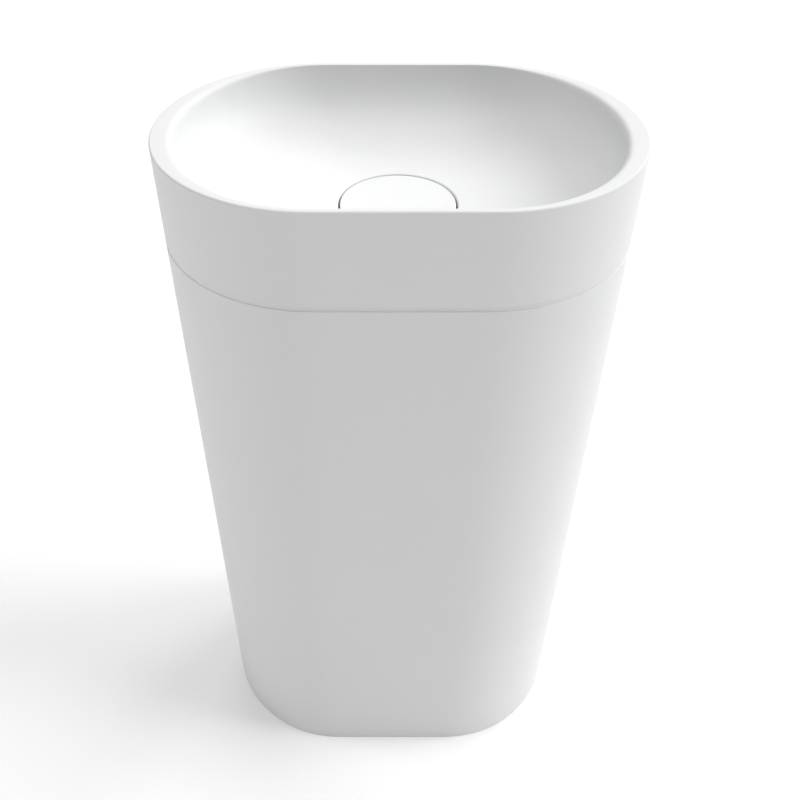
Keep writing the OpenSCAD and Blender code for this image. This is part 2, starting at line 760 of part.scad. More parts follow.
module pipe_clips() {
    grip_r = pipe_r + clip_gap;
    back_y = column_in - drop_reach;
    color(plastic) for (z = clip_levels) translate([0, -drop_reach, z]) difference() {
        union() {
            at_z(-clip_h / 2) cylinder(h = clip_h, r = grip_r + clip_wall);
            translate([-clip_neck_w / 2, -back_y + clip_base_t / 2, -clip_h / 2])
                cube([clip_neck_w, back_y - clip_base_t / 2 - grip_r, clip_h]);
            translate([-clip_base_w / 2, -back_y, -clip_base_h / 2])
                cube([clip_base_w, clip_base_t, clip_base_h]);
        }
        at_z(-clip_h) cylinder(h = 2 * clip_h, r = grip_r);
        translate([-clip_mouth / 2, 0, -clip_h]) cube([clip_mouth, 2 * grip_r, 2 * clip_h]);
        translate([0, -back_y - cut, clip_screw_dz]) rotate([-90, 0, 0])
            cylinder(h = clip_base_t + 2 * cut, r = clip_screw_r + screw_gap, $fn = small_fn);
    }
}

module clip_screws() {
    color(steel) for (z = clip_levels)
        translate([0, -column_in + clip_base_t, z + clip_screw_dz]) rotate([90, 0, 0])
            pan_screw(clip_screw_r, clip_screw_l, 2 * clip_screw_r, clip_screw_r);
}

basin();
basin_inserts();
seat_gasket();
locating_dowels();
basin_screws();
basin_washers();
pedestal();
panel_magnets();
bracket_inserts();
floor_brackets();
bracket_screws();
waste_flange();
flange_seal();
under_gasket();
backnut();
click_cartridge();
return_spring();
plunger_stem();
waste_plug();
plug_seal();
cover_insert();
waste_cover();
trap_inlet_nut();
trap_inlet_washer();
dip_tube();
trap_top_nut();
trap_top_washer();
trap_body();
trap_cup_seal();
trap_cup();
trap_outlet_nut();
trap_outlet_washer();
outlet_pipe();
pipe_clips();
clip_screws();
access_panel();
panel_strikes();
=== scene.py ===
"""Free-standing obround pedestal basin in matt solid surface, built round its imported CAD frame.

The file is laid out as an add-on: sizes and finishes are properties, each group of pieces has an operator,
and main() runs them in order. Lengths are in metres. +Z is up and the basin's front faces -Y.
"""

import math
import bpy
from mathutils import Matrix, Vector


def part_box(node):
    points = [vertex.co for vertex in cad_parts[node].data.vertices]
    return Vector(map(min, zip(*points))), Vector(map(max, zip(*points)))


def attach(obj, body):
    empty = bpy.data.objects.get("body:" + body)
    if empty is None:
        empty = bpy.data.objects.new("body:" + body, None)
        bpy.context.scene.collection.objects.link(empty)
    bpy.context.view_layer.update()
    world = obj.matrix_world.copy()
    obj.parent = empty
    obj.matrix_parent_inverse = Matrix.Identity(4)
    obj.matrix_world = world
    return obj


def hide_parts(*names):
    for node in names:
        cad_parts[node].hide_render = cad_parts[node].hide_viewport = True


bl_info = {
    "name": "Pedestal Basin",
    "version": (1, 0, 0),
    "blender": (4, 5, 0),
    "location": "View3D > Sidebar > Basin",
    "description": "Builds a free-standing obround basin with its waste, trap and fixings",
    "category": "Add Mesh",
}

import bpy
import numpy as np
from bpy.props import FloatProperty, FloatVectorProperty, IntProperty, PointerProperty
from mathutils import Vector

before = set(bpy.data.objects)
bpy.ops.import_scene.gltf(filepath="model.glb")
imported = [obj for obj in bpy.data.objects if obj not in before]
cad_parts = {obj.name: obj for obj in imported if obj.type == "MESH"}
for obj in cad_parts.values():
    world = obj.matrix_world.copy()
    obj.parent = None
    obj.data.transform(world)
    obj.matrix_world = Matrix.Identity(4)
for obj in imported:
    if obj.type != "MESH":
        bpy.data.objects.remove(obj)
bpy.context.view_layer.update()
MM = 0.001
TAU = 2 * math.pi


# ---- Sizes and places read from the frame ----

def low(node):
    """Lowest corner of a CAD node's box."""
    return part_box(node)[0]


def high(node):
    """Highest corner of a CAD node's box."""
    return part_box(node)[1]


# Clearances
CUT = 2 * MM            # how far a cutter runs past a face
FIT = 0.05 * MM         # between pieces pressed or set in one another
FREE = 0.3 * MM         # between pieces that move on one another
TOUCH = 0.2 * MM        # between faces that part when a piece moves
LIP_GAP = 0.4 * MM      # between a nut's lip or washer and its pipe
THREAD_GAP = 0.1 * MM   # between a nut and its thread
CLIP_GAP = 0.25 * MM    # between a clip and its pipe
POLE = 0.02 * MM        # radius of the small face that closes a turned piece on its axis

# Basin and column
HALF_W = high("basin").x
END_R = high("basin").y
FLAT_X = HALF_W - END_R
RIM_Z = high("basin").z
SEAT_Z = high("pedestal").z
COLUMN_IN = high("floor_brackets").y
COVER_TOP = high("waste_cover").z
COVER_LOW = low("waste_cover").z
COVER_R = high("waste_cover").x
WELL_FLOOR = low("flange_seal").z
WELL_UNDER = high("under_gasket").z
BASIN_LUG_TOP = COVER_TOP + 24 * MM
LUG_R = 13 * MM
GASKET_W = 6 * MM

# Screws, inserts, dowels and brackets
SCREW_R = 3 * MM
HEAD_R = 5.5 * MM
HEAD_H = 4 * MM
WASHER_R = 8 * MM
INSERT_R = 4.5 * MM
SCREW_X = high("basin_inserts").x - INSERT_R
SCREW_Y = high("basin_inserts").y - INSERT_R
DOWEL_R = 4 * MM
DOWEL_X = high("locating_dowels").x - DOWEL_R
BRACKET_W = 30 * MM
BRACKET_LEG = 40 * MM
BRACKET_FACE = COLUMN_IN - 3 * MM
BRACKET_X = high("floor_brackets").x - BRACKET_W / 2
BRACKET_SCREW_DX = 9 * MM
BRACKET_SCREW_Z = high("bracket_inserts").z - INSERT_R
BRACKET_HOLE_Y = COLUMN_IN - 23 * MM
FLOOR_HOLE_R = 4.5 * MM

# Service panel
PANEL_W = 2 * high("access_panel").x
PANEL_H = high("access_panel").z - low("access_panel").z
PANEL_MID = (high("access_panel").z + low("access_panel").z) / 2
PANEL_GAP = 0.8 * MM
PANEL_ROUND = 14 * MM
LEDGE_W = 14 * MM
NOTCH_R = 12 * MM
MAGNET_R = 4 * MM
MAGNET_PLACES = [(x, z)
                 for x in (low("panel_strikes").x + MAGNET_R, high("panel_strikes").x - MAGNET_R)
                 for z in (low("panel_strikes").z + MAGNET_R, high("panel_strikes").z - MAGNET_R)]

# Waste
TAIL_R = 20.9 * MM
TAIL_BORE_R = 18 * MM
TAIL_END = low("waste_flange").z
FLANGE_R = high("waste_flange").x
FLANGE_TOP = high("waste_flange").z
FLANGE_LOW = high("flange_seal").z
SPIDER_HUB_R = 9.5 * MM
SPIDER_Z = high("click_cartridge").z - 26 * MM
SPIDER_TOP = SPIDER_Z + 4 * MM
CARTRIDGE_R = 6.5 * MM
CARTRIDGE_BORE_R = 5 * MM
CARTRIDGE_CAP = 3 * MM
CARTRIDGE_FLOOR = 2 * MM
CARTRIDGE_FLANGE = 2.5 * MM
STEM_R = 2.5 * MM
COLLAR_T = 3 * MM
SPRING_R = 3.8 * MM
WIRE_R = 0.45 * MM
PLUG_CORE_R = 18 * MM

# Trap and pipes
PIPE_R = 16 * MM
PIPE_IN = 14.5 * MM
PIPE_FLANGE = 2.5 * MM
NUT_LIP = 6 * MM
NUT_RIB = 1.6 * MM
BOTTLE_R = 29 * MM
BOTTLE_WALL = 2.2 * MM
BOTTLE_TOP = high("trap_body").z - 16 * MM
BOTTLE_THREAD_L = 22 * MM
BOSS_RISE = 4 * MM
BOSS_END = 30 * MM
CUP_IN = 26.5 * MM
CUP_FLOOR = 3 * MM
OUTLET_Z = high("outlet_pipe").z - PIPE_R
BEAD_RISE = 1.5 * MM
DROP_REACH = -low("outlet_pipe").y - PIPE_R - BEAD_RISE
BEND_R = 35 * MM
CLIP_H = 16 * MM
CLIP_WALL = 3 * MM
CLIP_OPEN = 24 * MM
CLIP_BASE_W = 30 * MM
CLIP_BASE_H = 44 * MM
CLIP_BASE_T = 4 * MM
CLIP_SCREW_L = 14 * MM
CLIP_SCREW_R = 2 * MM
CLIP_SCREW_Z = (low("clip_screws").z + 2 * CLIP_SCREW_R, high("clip_screws").z - 2 * CLIP_SCREW_R)
CLIP_SCREW_DZ = 16 * MM

# Threads: pitch, depth and, for the last two, the radius past which they are cut
SCREW_THREAD = (1 * MM, 0.45 * MM)
TAIL_THREAD = (2 * MM, 0.7 * MM, TAIL_R - FIT)
BOTTLE_THREAD = (4 * MM, 0.8 * MM, BOTTLE_R - FIT)

# Soft studio lights: azimuth (0 from +X, 90 from behind), elevation and strength
LIGHTS = {"key": (0, 40, 1.74), "key_front": (-30, 50, 0.15), "rear_low": (40, 30, 0.87),
          "rear_high": (40, 50, 0.18), "back": (90, 50, 0.55), "top": (0, 90, 0.37),
          "front": (-90, 25, 0.12), "front_high": (-90, 60, 0.26), "left": (180, 50, 0.88)}
LIGHT_WIDTH = math.radians(31)


# ---- Sizes and finishes that a user may change ----

def length(label, about, size, lowest=0.0, highest=1.0):
    """A length property in metres."""
    return FloatProperty(name=label, description=about, default=size, min=lowest, max=highest,
                         unit="LENGTH", subtype="DISTANCE", precision=5)


def colour(label, about, value):
    """A colour property."""
    return FloatVectorProperty(name=label, description=about, default=value, min=0.0, max=1.0,
                               size=3, subtype="COLOR")


class BasinSizes(bpy.types.PropertyGroup):
    rim_side: length("Rim at the sides", "Width of the rim along the flat faces", 6.5 * MM)
    rim_end: length("Rim at the ends", "From the outline to the bowl's wall at the round ends", 23 * MM)
    rim_round: length("Rim edge", "Radius on the rim's outer edge", 2 * MM)
    roll_side: length("Inner roll at the sides", "Roll into the bowl at the flat faces", 0.9 * MM)
    roll_end: length("Inner roll at the ends", "Roll into the bowl at the round ends", 8 * MM)
    fullness: FloatProperty(name="Fullness", description="How square the bowl's section is",
                            default=2.5, min=2.0, max=4.0)
    fall: FloatProperty(name="Fall", description="Share of the depth that falls evenly to the waste",
                        default=0.08, min=0.0, max=0.2)
    shell_wall: length("Shell", "Thickness of the bowl's shell", 11 * MM)
    skirt_wall: length("Skirt", "Thickness of the outer skirt", 15 * MM)
    shadow_h: length("Shadow line height", "Height of the groove under the basin", 5 * MM)
    shadow_depth: length("Shadow line depth", "Depth of the groove under the basin", 0.9 * MM)
    well_gap: length("Ring gap", "Gap round the waste cover", 1.9 * MM)
    well_wall: length("Well wall", "Thickness of the well's wall", 14 * MM)
    bore_r: length("Waste hole", "Radius of the hole in the well's floor", 22.5 * MM)
    edge: length("Small edges", "Radius on small moulded edges", 0.6 * MM)
    seat_edge: length("Seat edge", "Radius on the basin's edge where it meets the column", 0.15 * MM)
    column_edge: length("Column edge", "Radius on the column's upper edge", 0.8 * MM)
    mouth_edge: length("Ring edge", "Radius on the bowl's edge round the cover", 1.8 * MM)
    around: IntProperty(name="Steps round", description="Steps round the basin", default=264, min=48)


class FinishColours(bpy.types.PropertyGroup):
    surface: colour("Solid surface", "Matt white of the basin and column", (0.80, 0.803, 0.807))
    chrome: colour("Chrome", "Plated brass of the waste and trap", (0.66, 0.67, 0.68))
    brass: colour("Brass", "Bare turned brass", (0.62, 0.44, 0.18))
    steel: colour("Stainless steel", "Brackets and screws", (0.48, 0.485, 0.49))
    nickel: colour("Nickel", "Plated magnets", (0.6, 0.585, 0.56))
    rubber: colour("Rubber", "Black seals and gaskets", (0.022, 0.022, 0.024))
    seal: colour("Grey seal", "Foam seal under the waste's flange", (0.16, 0.16, 0.165))
    plastic: colour("White plastic", "Plug and pipe clips", (0.72, 0.71, 0.67))
    floor: colour("Floor", "Plain pale studio floor", (0.98, 0.98, 0.98))


class StageSettings(bpy.types.PropertyGroup):
    lens: FloatProperty(name="Lens", description="Focal length of the camera in millimetres",
                        default=40.33, min=10.0, unit="CAMERA")
    shift_x: FloatProperty(name="Shift", description="Sideways shift of the picture", default=0.0269)
    pitch: FloatProperty(name="Pitch", description="How far the camera looks down",
                         default=math.radians(41.76), subtype="ANGLE")
    camera_x: length("Camera X", "Camera's place across", -0.0204, -10, 10)
    camera_y: length("Camera Y", "Camera's place in front", -0.8392, -10, 10)
    camera_z: length("Camera Z", "Camera's height", 1.288, -10, 10)
    sky: FloatProperty(name="Sky", description="Strength of the even light from all round", default=0.01)
    mirrored: FloatProperty(name="Mirrored sky", description="Strength of the sky in glossy pieces",
                            default=0.4)
    lights: FloatProperty(name="Lights", description="Share of the lights' full strength", default=1.0)


# ---- Shader expressions ----

class Value:
    """A shader socket that takes part in Python expressions. Each operation adds one Math node."""

    def __init__(self, tree, socket):
        self.tree = tree
        self.socket = socket

    def math(self, operation, *others):
        return node(self.tree, "ShaderNodeMath", {"operation": operation},
                    dict(enumerate((self, *others))))

    def __add__(self, other):
        return self.math("ADD", other)

    def __mul__(self, other):
        return self.math("MULTIPLY", other)

    def __sub__(self, other):
        return self.math("SUBTRACT", other)

    def __rsub__(self, other):
        return node(self.tree, "ShaderNodeMath", {"operation": "SUBTRACT"}, {0: other, 1: self})

    __radd__ = __add__
    __rmul__ = __mul__

    def over(self, first, last):
        """0 below first, 1 above last, and a straight ramp between them."""
        return node(self.tree, "ShaderNodeMapRange", {"clamp": True},
                    {"Value": self, "From Min": first, "From Max": last})


def node(tree, kind, settings=None, inputs=None, output=0):
    """Adds a node, makes its settings first and then fills its sockets with values or links."""
    made = tree.nodes.new(kind)
    for name, value in (settings or {}).items():
        setattr(made, name, value)
    for name, value in (inputs or {}).items():
        socket = made.inputs[name]
        if isinstance(value, Value):
            tree.links.new(value.socket, socket)
        else:
            socket.default_value = value
    return Value(tree, made.outputs[output])


def blend_colour(tree, share, first, second):
    """A colour between two others."""
    as_rgba = [c if isinstance(c, Value) else (*c, 1.0) for c in (first, second)]
    return node(tree, "ShaderNodeMix", {"data_type": "RGBA"},
                {0: share, 6: as_rgba[0], 7: as_rgba[1]}, output=2)


def noise(tree, place, scale, detail=2.0, rough=0.5):
    """Cloud noise from 0 to 1, with the scale in cells per metre."""
    return node(tree, "ShaderNodeTexNoise", {},
                {"Vector": place, "Scale": scale, "Detail": detail, "Roughness": rough})


def stretched(tree, place, scale):
    """Coordinates scaled along each axis, which draws a pattern out along the smallest one."""
    return node(tree, "ShaderNodeMapping", {}, {"Vector": place, "Scale": scale})


def tinted(base, factor):
    """A colour made lighter or darker by a factor."""
    return tuple(min(1.0, c * factor) for c in base)


def begin_material(name):
    """A new material with a Principled shader. Gives the tree, the shader and Object coordinates."""
    material = bpy.data.materials.new(name)
    material.use_nodes = True
    tree = material.node_tree
    shader = tree.nodes["Principled BSDF"]
    place = node(tree, "ShaderNodeTexCoord", output=3)
    return material, tree, shader, place


def drive(tree, shader, **sockets):
    """Links expressions or sets plain values on the Principled shader's sockets."""
    for name, value in sockets.items():
        socket = shader.inputs[name.replace("_", " ").title().replace("Ior", "IOR")]
        if isinstance(value, Value):
            tree.links.new(value.socket, socket)
        else:
            socket.default_value = (*value, 1.0) if isinstance(value, tuple) else value


def relief(tree, shader, height, distance, strength=1.0):
    """A bump from a height expression, in metres of depth."""
    bump = node(tree, "ShaderNodeBump", {},
                {"Height": height, "Distance": distance, "Strength": strength})
    tree.links.new(bump.socket, shader.inputs["Normal"])


def solid_surface(name, base):
    """Cast mineral and resin, sanded matt: faint clouding, fine mineral grain and a soft sanded haze."""
    material, tree, shader, place = begin_material(name)
    cloud = noise(tree, place, 6.0, 3.0)
    grain = noise(tree, place, 900.0, 2.0, 0.6)
    fleck = noise(tree, place, 2600.0, 1.0).over(0.66, 0.74)
    haze = noise(tree, place, 38.0, 4.0, 0.6)
    body = blend_colour(tree, cloud.over(0.3, 0.7), tinted(base, 0.992), tinted(base, 1.006))
    body = blend_colour(tree, grain.over(0.35, 0.65) * 0.5, body, tinted(base, 0.985))
    body = blend_colour(tree, fleck * 0.35, body, tinted(base, 1.03))
    drive(tree, shader, base_color=body, roughness=0.47 + haze * 0.1 + grain * 0.04,
          specular_ior_level=0.42)
    relief(tree, shader, grain * 0.6 + haze * 0.4, 0.00004, 0.5)
    return material


def plated(name, base):
    """Bright chrome plate over turned brass: faint wipe marks, water spots and a slow change of gloss."""
    material, tree, shader, place = begin_material(name)
    smear = noise(tree, place, 40.0, 3.0)
    wipe = noise(tree, stretched(tree, place, (1.0, 1.0, 0.05)), 2400.0, 2.0)
    spot = noise(tree, place, 260.0, 2.0).over(0.68, 0.73)
    tone = blend_colour(tree, spot * 0.5, base, tinted(base, 0.86))
    drive(tree, shader, base_color=tone, metallic=1.0,
          roughness=0.07 + smear.over(0.35, 0.75) * 0.07 + wipe * 0.05 + spot * 0.12)
    relief(tree, shader, wipe, 0.00001, 0.3)
    return material


def turned(name, base, dull=0.26):
    """Turned metal: fine rings across the lathe's axis, a little staining and dull patches."""
    material, tree, shader, place = begin_material(name)
    rings = noise(tree, stretched(tree, place, (0.04, 0.04, 1.0)), 5200.0, 2.0, 0.6)
    stain = noise(tree, place, 70.0, 4.0, 0.6)
    tone = blend_colour(tree, stain.over(0.4, 0.8) * 0.7, base, tinted(base, 0.7))
    drive(tree, shader, base_color=tone, metallic=1.0,
          roughness=dull + rings * 0.12 + stain.over(0.45, 0.8) * 0.14)
    relief(tree, shader, rings, 0.00003, 0.5)
    return material


def brushed(name, base, along=(1.0, 0.03, 1.0)):
    """Rolled stainless steel: long fine scratches along one way, and soft finger marks."""
    material, tree, shader, place = begin_material(name)
    scratch = noise(tree, stretched(tree, place, along), 3600.0, 3.0, 0.7)
    mark = noise(tree, place, 55.0, 2.0)
    tone = blend_colour(tree, scratch.over(0.3, 0.7), tinted(base, 0.9), tinted(base, 1.08))
    drive(tree, shader, base_color=tone, metallic=1.0,
          roughness=0.26 + scratch * 0.16 + mark.over(0.5, 0.8) * 0.08)
    relief(tree, shader, scratch, 0.00002, 0.5)
    return material


def elastomer(name, base):
    """Moulded rubber: a dusty bloom, fine pitting and a soft sheen."""
    material, tree, shader, place = begin_material(name)
    bloom = noise(tree, place, 90.0, 4.0, 0.6)
    pit = noise(tree, place, 2200.0, 2.0)
    tone = blend_colour(tree, bloom.over(0.45, 0.8) * 0.6, base, tinted(base, 1.9))
    drive(tree, shader, base_color=tone, roughness=0.62 + bloom * 0.2 + pit * 0.08)
    relief(tree, shader, pit, 0.00005, 0.6)
    return material


def moulded(name, base):
    """Injection-moulded plastic: a fine spark texture, faint flow marks and a satin gloss."""
    material, tree, shader, place = begin_material(name)
    spark = noise(tree, place, 1500.0, 3.0, 0.7)
    flow = noise(tree, stretched(tree, place, (1.0, 1.0, 0.3)), 60.0, 2.0)
    tone = blend_colour(tree, flow.over(0.3, 0.7), tinted(base, 0.97), tinted(base, 1.03))
    drive(tree, shader, base_color=tone, roughness=0.38 + spark * 0.12 + flow * 0.06)
    relief(tree, shader, spark, 0.00004, 0.5)
    return material


def studio_floor(name, base):
    """A plain pale painted floor, very slightly uneven."""
    material, tree, shader, place = begin_material(name)
    cloud = noise(tree, place, 2.0, 2.0)
    tone = blend_colour(tree, cloud, tinted(base, 0.995), tinted(base, 1.005))
    drive(tree, shader, base_color=tone, roughness=0.9, specular_ior_level=0.1, emission_color=tone,
          emission_strength=0.02)
    return material


# Which recipe and which colour each of the record's slots takes
RECIPES = {
    "solid_surface": (solid_surface, "surface"),
    "cover_surface": (solid_surface, "surface"),
    "panel_surface": (solid_surface, "surface"),
    "chromed_brass": (plated, "chrome"),
    "bare_brass": (turned, "brass"),
    "stainless": (brushed, "steel"),
    "spring_steel": (turned, "steel"),
    "magnet": (turned, "nickel"),
    "black_rubber": (elastomer, "rubber"),
    "grey_seal": (elastomer, "seal"),
    "white_plastic": (moulded, "plastic"),
}


def finish_for(slot):
    """The material for a slot, made the first time that it is asked for."""
    name = "finish_" + slot
    if name not in bpy.data.materials:
        recipe, tone = RECIPES[slot]
        recipe(name, tuple(getattr(bpy.context.scene.basin_finishes, tone)))
    return bpy.data.materials[name]


# ---- Meshes from whole arrays ----
# A shell is one closed skin: its points, its faces' corners in one row, and how many corners each face has.

def shell_of(points, *face_groups):
    """A shell from points and arrays of equal-sided faces, turned outwards if its volume is negative."""
    corners = np.concatenate([f.ravel() for f in face_groups])
    sizes = np.concatenate([np.full(len(f), f.shape[1]) for f in face_groups])
    return outward(points.reshape(-1, 3), corners, sizes)


def starts_of(sizes):
    """Where each face's corners start in the row of corners."""
    return np.concatenate([[0], np.cumsum(sizes)[:-1]]).astype(int)


def outward(points, corners, sizes):
    """Signed volume: a sixth of the sum of the triple products of each face's fan of triangles.
    A shell whose sum is negative has each face's corners put in the opposite order."""
    starts = starts_of(sizes)
    fans = np.repeat(starts, sizes - 2)
    second = fans + 1 + np.arange(len(fans)) - np.repeat(np.cumsum(sizes - 2) - (sizes - 2), sizes - 2)
    p, q, r = points[corners[fans]], points[corners[second]], points[corners[second + 1]]
    if np.einsum("ij,ij->", p, np.cross(q, r)) < 0:
        place = np.arange(len(corners))
        face_start = np.repeat(starts, sizes)
        corners = corners[2 * face_start + np.repeat(sizes, sizes) - 1 - place]
    return points, corners, sizes


def grid_faces(rows, columns, wrap_rows=False):
    """Quads of a grid of points, row by row. Columns always close on themselves; rows close if asked."""
    r = np.arange(rows if wrap_rows else rows - 1)[:, None]
    c = np.arange(columns)[None, :]
    r_next = (r + 1) % rows
    c_next = (c + 1) % columns
    corners = [r * columns + c, r * columns + c_next, r_next * columns + c_next, r_next * columns + c]
    return np.stack(np.broadcast_arrays(*corners), -1).reshape(-1, 4)


def ring_shell(rings):
    """A closed section carried round: rings has the shape (section, around, 3) and closes both ways."""
    return shell_of(rings, grid_faces(rings.shape[0], rings.shape[1], wrap_rows=True))


def capped_shell(rings):
    """Rings stacked from one end to the other, with a flat face on each end."""
    rows, columns = rings.shape[:2]
    ends = np.stack([np.arange(columns)[::-1], (rows - 1) * columns + np.arange(columns)])
    return shell_of(rings, grid_faces(rows, columns), ends)


def moved(shell, offset=(0, 0, 0), swap=None, flip=(1, 1, 1)):
    """A copy of a shell: its axes are put in the order of swap, mirrored by flip, and then moved."""
    points, corners, sizes = shell
    points = points[:, swap] if swap else points
    return outward(points * np.array(flip, float) + np.array(offset, float), corners, sizes)


def mesh_of(name, shells):
    """One mesh from shells: their points and faces one after the other."""
    points = np.concatenate([p for p, _, _ in shells])
    first = np.cumsum([0] + [len(p) for p, _, _ in shells[:-1]])
    corners = np.concatenate([c + f for (_, c, _), f in zip(shells, first)])
    sizes = np.concatenate([n for _, _, n in shells])
    mesh = bpy.data.meshes.new(name)
    mesh.vertices.add(len(points))
    mesh.vertices.foreach_set("co", points.astype(np.float32).ravel())
    mesh.loops.add(len(corners))
    mesh.loops.foreach_set("vertex_index", corners.astype(np.int32))
    mesh.polygons.add(len(sizes))
    mesh.polygons.foreach_set("loop_start", starts_of(sizes).astype(np.int32))
    mesh.update(calc_edges=True)
    return mesh


def shell_from(mesh):
    """The points and faces of a mesh as one shell."""
    points = np.empty(len(mesh.vertices) * 3, np.float32)
    mesh.vertices.foreach_get("co", points)
    corners = np.empty(len(mesh.loops), np.int32)
    mesh.loops.foreach_get("vertex_index", corners)
    sizes = np.empty(len(mesh.polygons), np.int32)
    mesh.polygons.foreach_get("loop_total", sizes)
    return points.reshape(-1, 3).astype(float), corners.astype(int), sizes.astype(int)


def carved(base, adds=(), cuts=()):
    """A shell joined with others and then cut by others, by exact booleans on closed meshes."""
    work = bpy.data.objects.new("work", mesh_of("work", [base]))
    bpy.context.scene.collection.objects.link(work)
    tools = []
    for operation, shells in (("UNION", adds), ("DIFFERENCE", cuts)):
        for shell in shells:
            tool = bpy.data.objects.new("tool", mesh_of("tool", [shell]))
            bpy.context.scene.collection.objects.link(tool)
            step = work.modifiers.new("step", "BOOLEAN")
            step.operation = operation
            step.solver = "MANIFOLD"
            step.object = tool
            tools.append(tool)
    bpy.context.view_layer.update()
    result = bpy.data.meshes.new_from_object(work.evaluated_get(bpy.context.evaluated_depsgraph_get()))
    shell = shell_from(result)
    for item in (work, *tools):
        mesh = item.data
        bpy.data.objects.remove(item)
        bpy.data.meshes.remove(mesh)
    bpy.data.meshes.remove(result)
    if not len(shell[0]):
        raise RuntimeError("a boolean left nothing")
    return shell


def even_normals(mesh, limit=34.0):
    """Corner normals that keep flat faces flat: at each corner, the sum of area times normal over the faces
    round that point whose normals lie within the limit of the corner's own face."""
    points = np.empty(len(mesh.loops), np.int32)
    mesh.loops.foreach_get("vertex_index", points)
    sizes = np.empty(len(mesh.polygons), np.int32)
    mesh.polygons.foreach_get("loop_total", sizes)
    faces = np.repeat(np.arange(len(sizes)), sizes)
    normals, areas = np.empty(len(sizes) * 3, np.float32), np.empty(len(sizes), np.float32)
    mesh.polygons.foreach_get("normal", normals)
    mesh.polygons.foreach_get("area", areas)
    order = np.argsort(points, kind="stable")
    normals = normals.reshape(-1, 3)[faces[order]]
    weighted = normals * areas[faces[order]][:, None]
    counts = np.bincount(points)
    count = counts[points[order]]
    start = (np.cumsum(counts) - counts)[points[order]]
    place = np.arange(len(points)) - start
    total = weighted.copy()
    for step in range(1, counts.max()):
        here = np.flatnonzero(count > step)
        other = start[here] + (place[here] + step) % count[here]
        near = np.einsum("ij,ij->i", normals[here], normals[other]) > math.cos(math.radians(limit))
        total[here[near]] += weighted[other[near]]
    result = np.empty_like(total)
    result[order] = total / np.maximum(np.linalg.norm(total, axis=1), 1e-20)[:, None]
    mesh.normals_split_custom_set(result)


def add_piece(name, shells, slot, body, replaces):
    """One finished piece: smooth faces, its finish, its body and the nodes it stands for."""
    mesh = mesh_of(name, shells)
    mesh.polygons.foreach_set("use_smooth", np.ones(len(mesh.polygons), bool))
    even_normals(mesh)
    piece = bpy.data.objects.new(name, mesh)
    bpy.context.scene.collection.objects.link(piece)
    mesh.materials.append(finish_for(slot))
    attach(piece, body)
    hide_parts(*replaces)
    return piece


# ---- Sections and outlines ----

def arc(corner, before, after, radius, steps=5):
    """Points of a round corner: a quadratic curve from the way to before round to the way to after."""
    corner, before, after = (np.asarray(p, float) for p in (corner, before, after))
    start = corner + (before - corner) * (radius / np.linalg.norm(before - corner))
    end = corner + (after - corner) * (radius / np.linalg.norm(after - corner))
    t = np.linspace(0, 1, steps)[:, None]
    return (1 - t) ** 2 * start + 2 * t * (1 - t) * corner + t**2 * end


def rounded_section(corners, radius, steps=5):
    """A closed section through the corners, each rounded by the radius or by its own from a list."""
    radii = np.broadcast_to(radius, len(corners))
    ring = [corners[-1], *corners, corners[0]]
    return np.concatenate([
        arc(ring[i + 1], ring[i], ring[i + 2], radii[i], steps) if radii[i] > 0
        else np.asarray([ring[i + 1]], float)
        for i in range(len(corners))])


def turn(section, around=96):
    """A section of (radius, height) points turned round the Z axis: x = r cos a, y = r sin a, z = h."""
    a = TAU * np.arange(around) / around
    r, h = section[:, :1], section[:, 1:]
    return np.stack([r * np.cos(a), r * np.sin(a), np.broadcast_to(h, (len(section), around))], -1)


def reshaped(rings, change):
    """Rings whose radius is changed by a function of their radius, angle and height."""
    x, y, z = rings[..., 0], rings[..., 1], rings[..., 2]
    r = np.hypot(x, y)
    ratio = change(r, np.arctan2(y, x), z) / np.maximum(r, 1e-9)
    return np.stack([x * ratio, y * ratio, z], -1)


def within(z, start, end, ramp):
    """1 between two heights and 0 outside them, with a straight ramp inside each end."""
    return np.clip((z - start) / ramp, 0, 1) * np.clip((end - z) / ramp, 0, 1)


def threaded(rings, start, end, pitch, depth, r_from):
    """A cut thread on the outside: the radius loses depth times a wave of z / pitch - a / full turn."""
    def change(r, a, z):
        wave = 0.5 - 0.5 * np.cos(TAU * (z / pitch - a / TAU))
        return r - depth * wave * within(z, start, end, pitch) * (r >= r_from)
    return reshaped(rings, change)


def ribbed(rings, count, rise, start, end, r_from, ramp=2 * MM):
    """Grip ribs: the radius gains rise times a narrow wave that repeats count times in a turn."""
    def change(r, a, z):
        wave = (0.5 + 0.5 * np.cos(count * a)) ** 3
        return r + rise * wave * within(z, start, end, ramp) * (r >= r_from)
    return reshaped(rings, change)


def knurled(rings, count, pitch, depth, start, end, r_from):
    """A diamond knurl: the radius loses depth times the greater of two crossed helical waves."""
    def change(r, a, z):
        left = 0.5 - 0.5 * np.cos(count * a + TAU * z / pitch)
        right = 0.5 - 0.5 * np.cos(count * a - TAU * z / pitch)
        return r - depth * np.maximum(left, right) * within(z, start, end, pitch / 2) * (r >= r_from)
    return reshaped(rings, change)


def wall(r, z_low, z_high, step):
    """Points up a straight wall, close enough together to carry a thread or a knurl."""
    z = np.linspace(z_low, z_high, max(2, int(round((z_high - z_low) / step)) + 1))
    return np.stack([np.full(len(z), r), z], -1)


def soft_ring(r_in, r_out, z_low, z_high, edge=0.3 * MM, around=96):
    """A plain ring with softened edges, turned from a rounded rectangle."""
    corners = [(r_in, z_low), (r_out, z_low), (r_out, z_high), (r_in, z_high)]
    return turn(rounded_section(corners, edge), around)


def post(r, z_low, z_high, edge=0.3 * MM, around=48):
    """A plain round bar with softened edges, closed at both ends."""
    rows = np.concatenate([
        arc((r, z_low), (0, z_low), (r, z_high), edge), arc((r, z_high), (r, z_low), (0, z_high), edge)])
    return turn(rows, around)


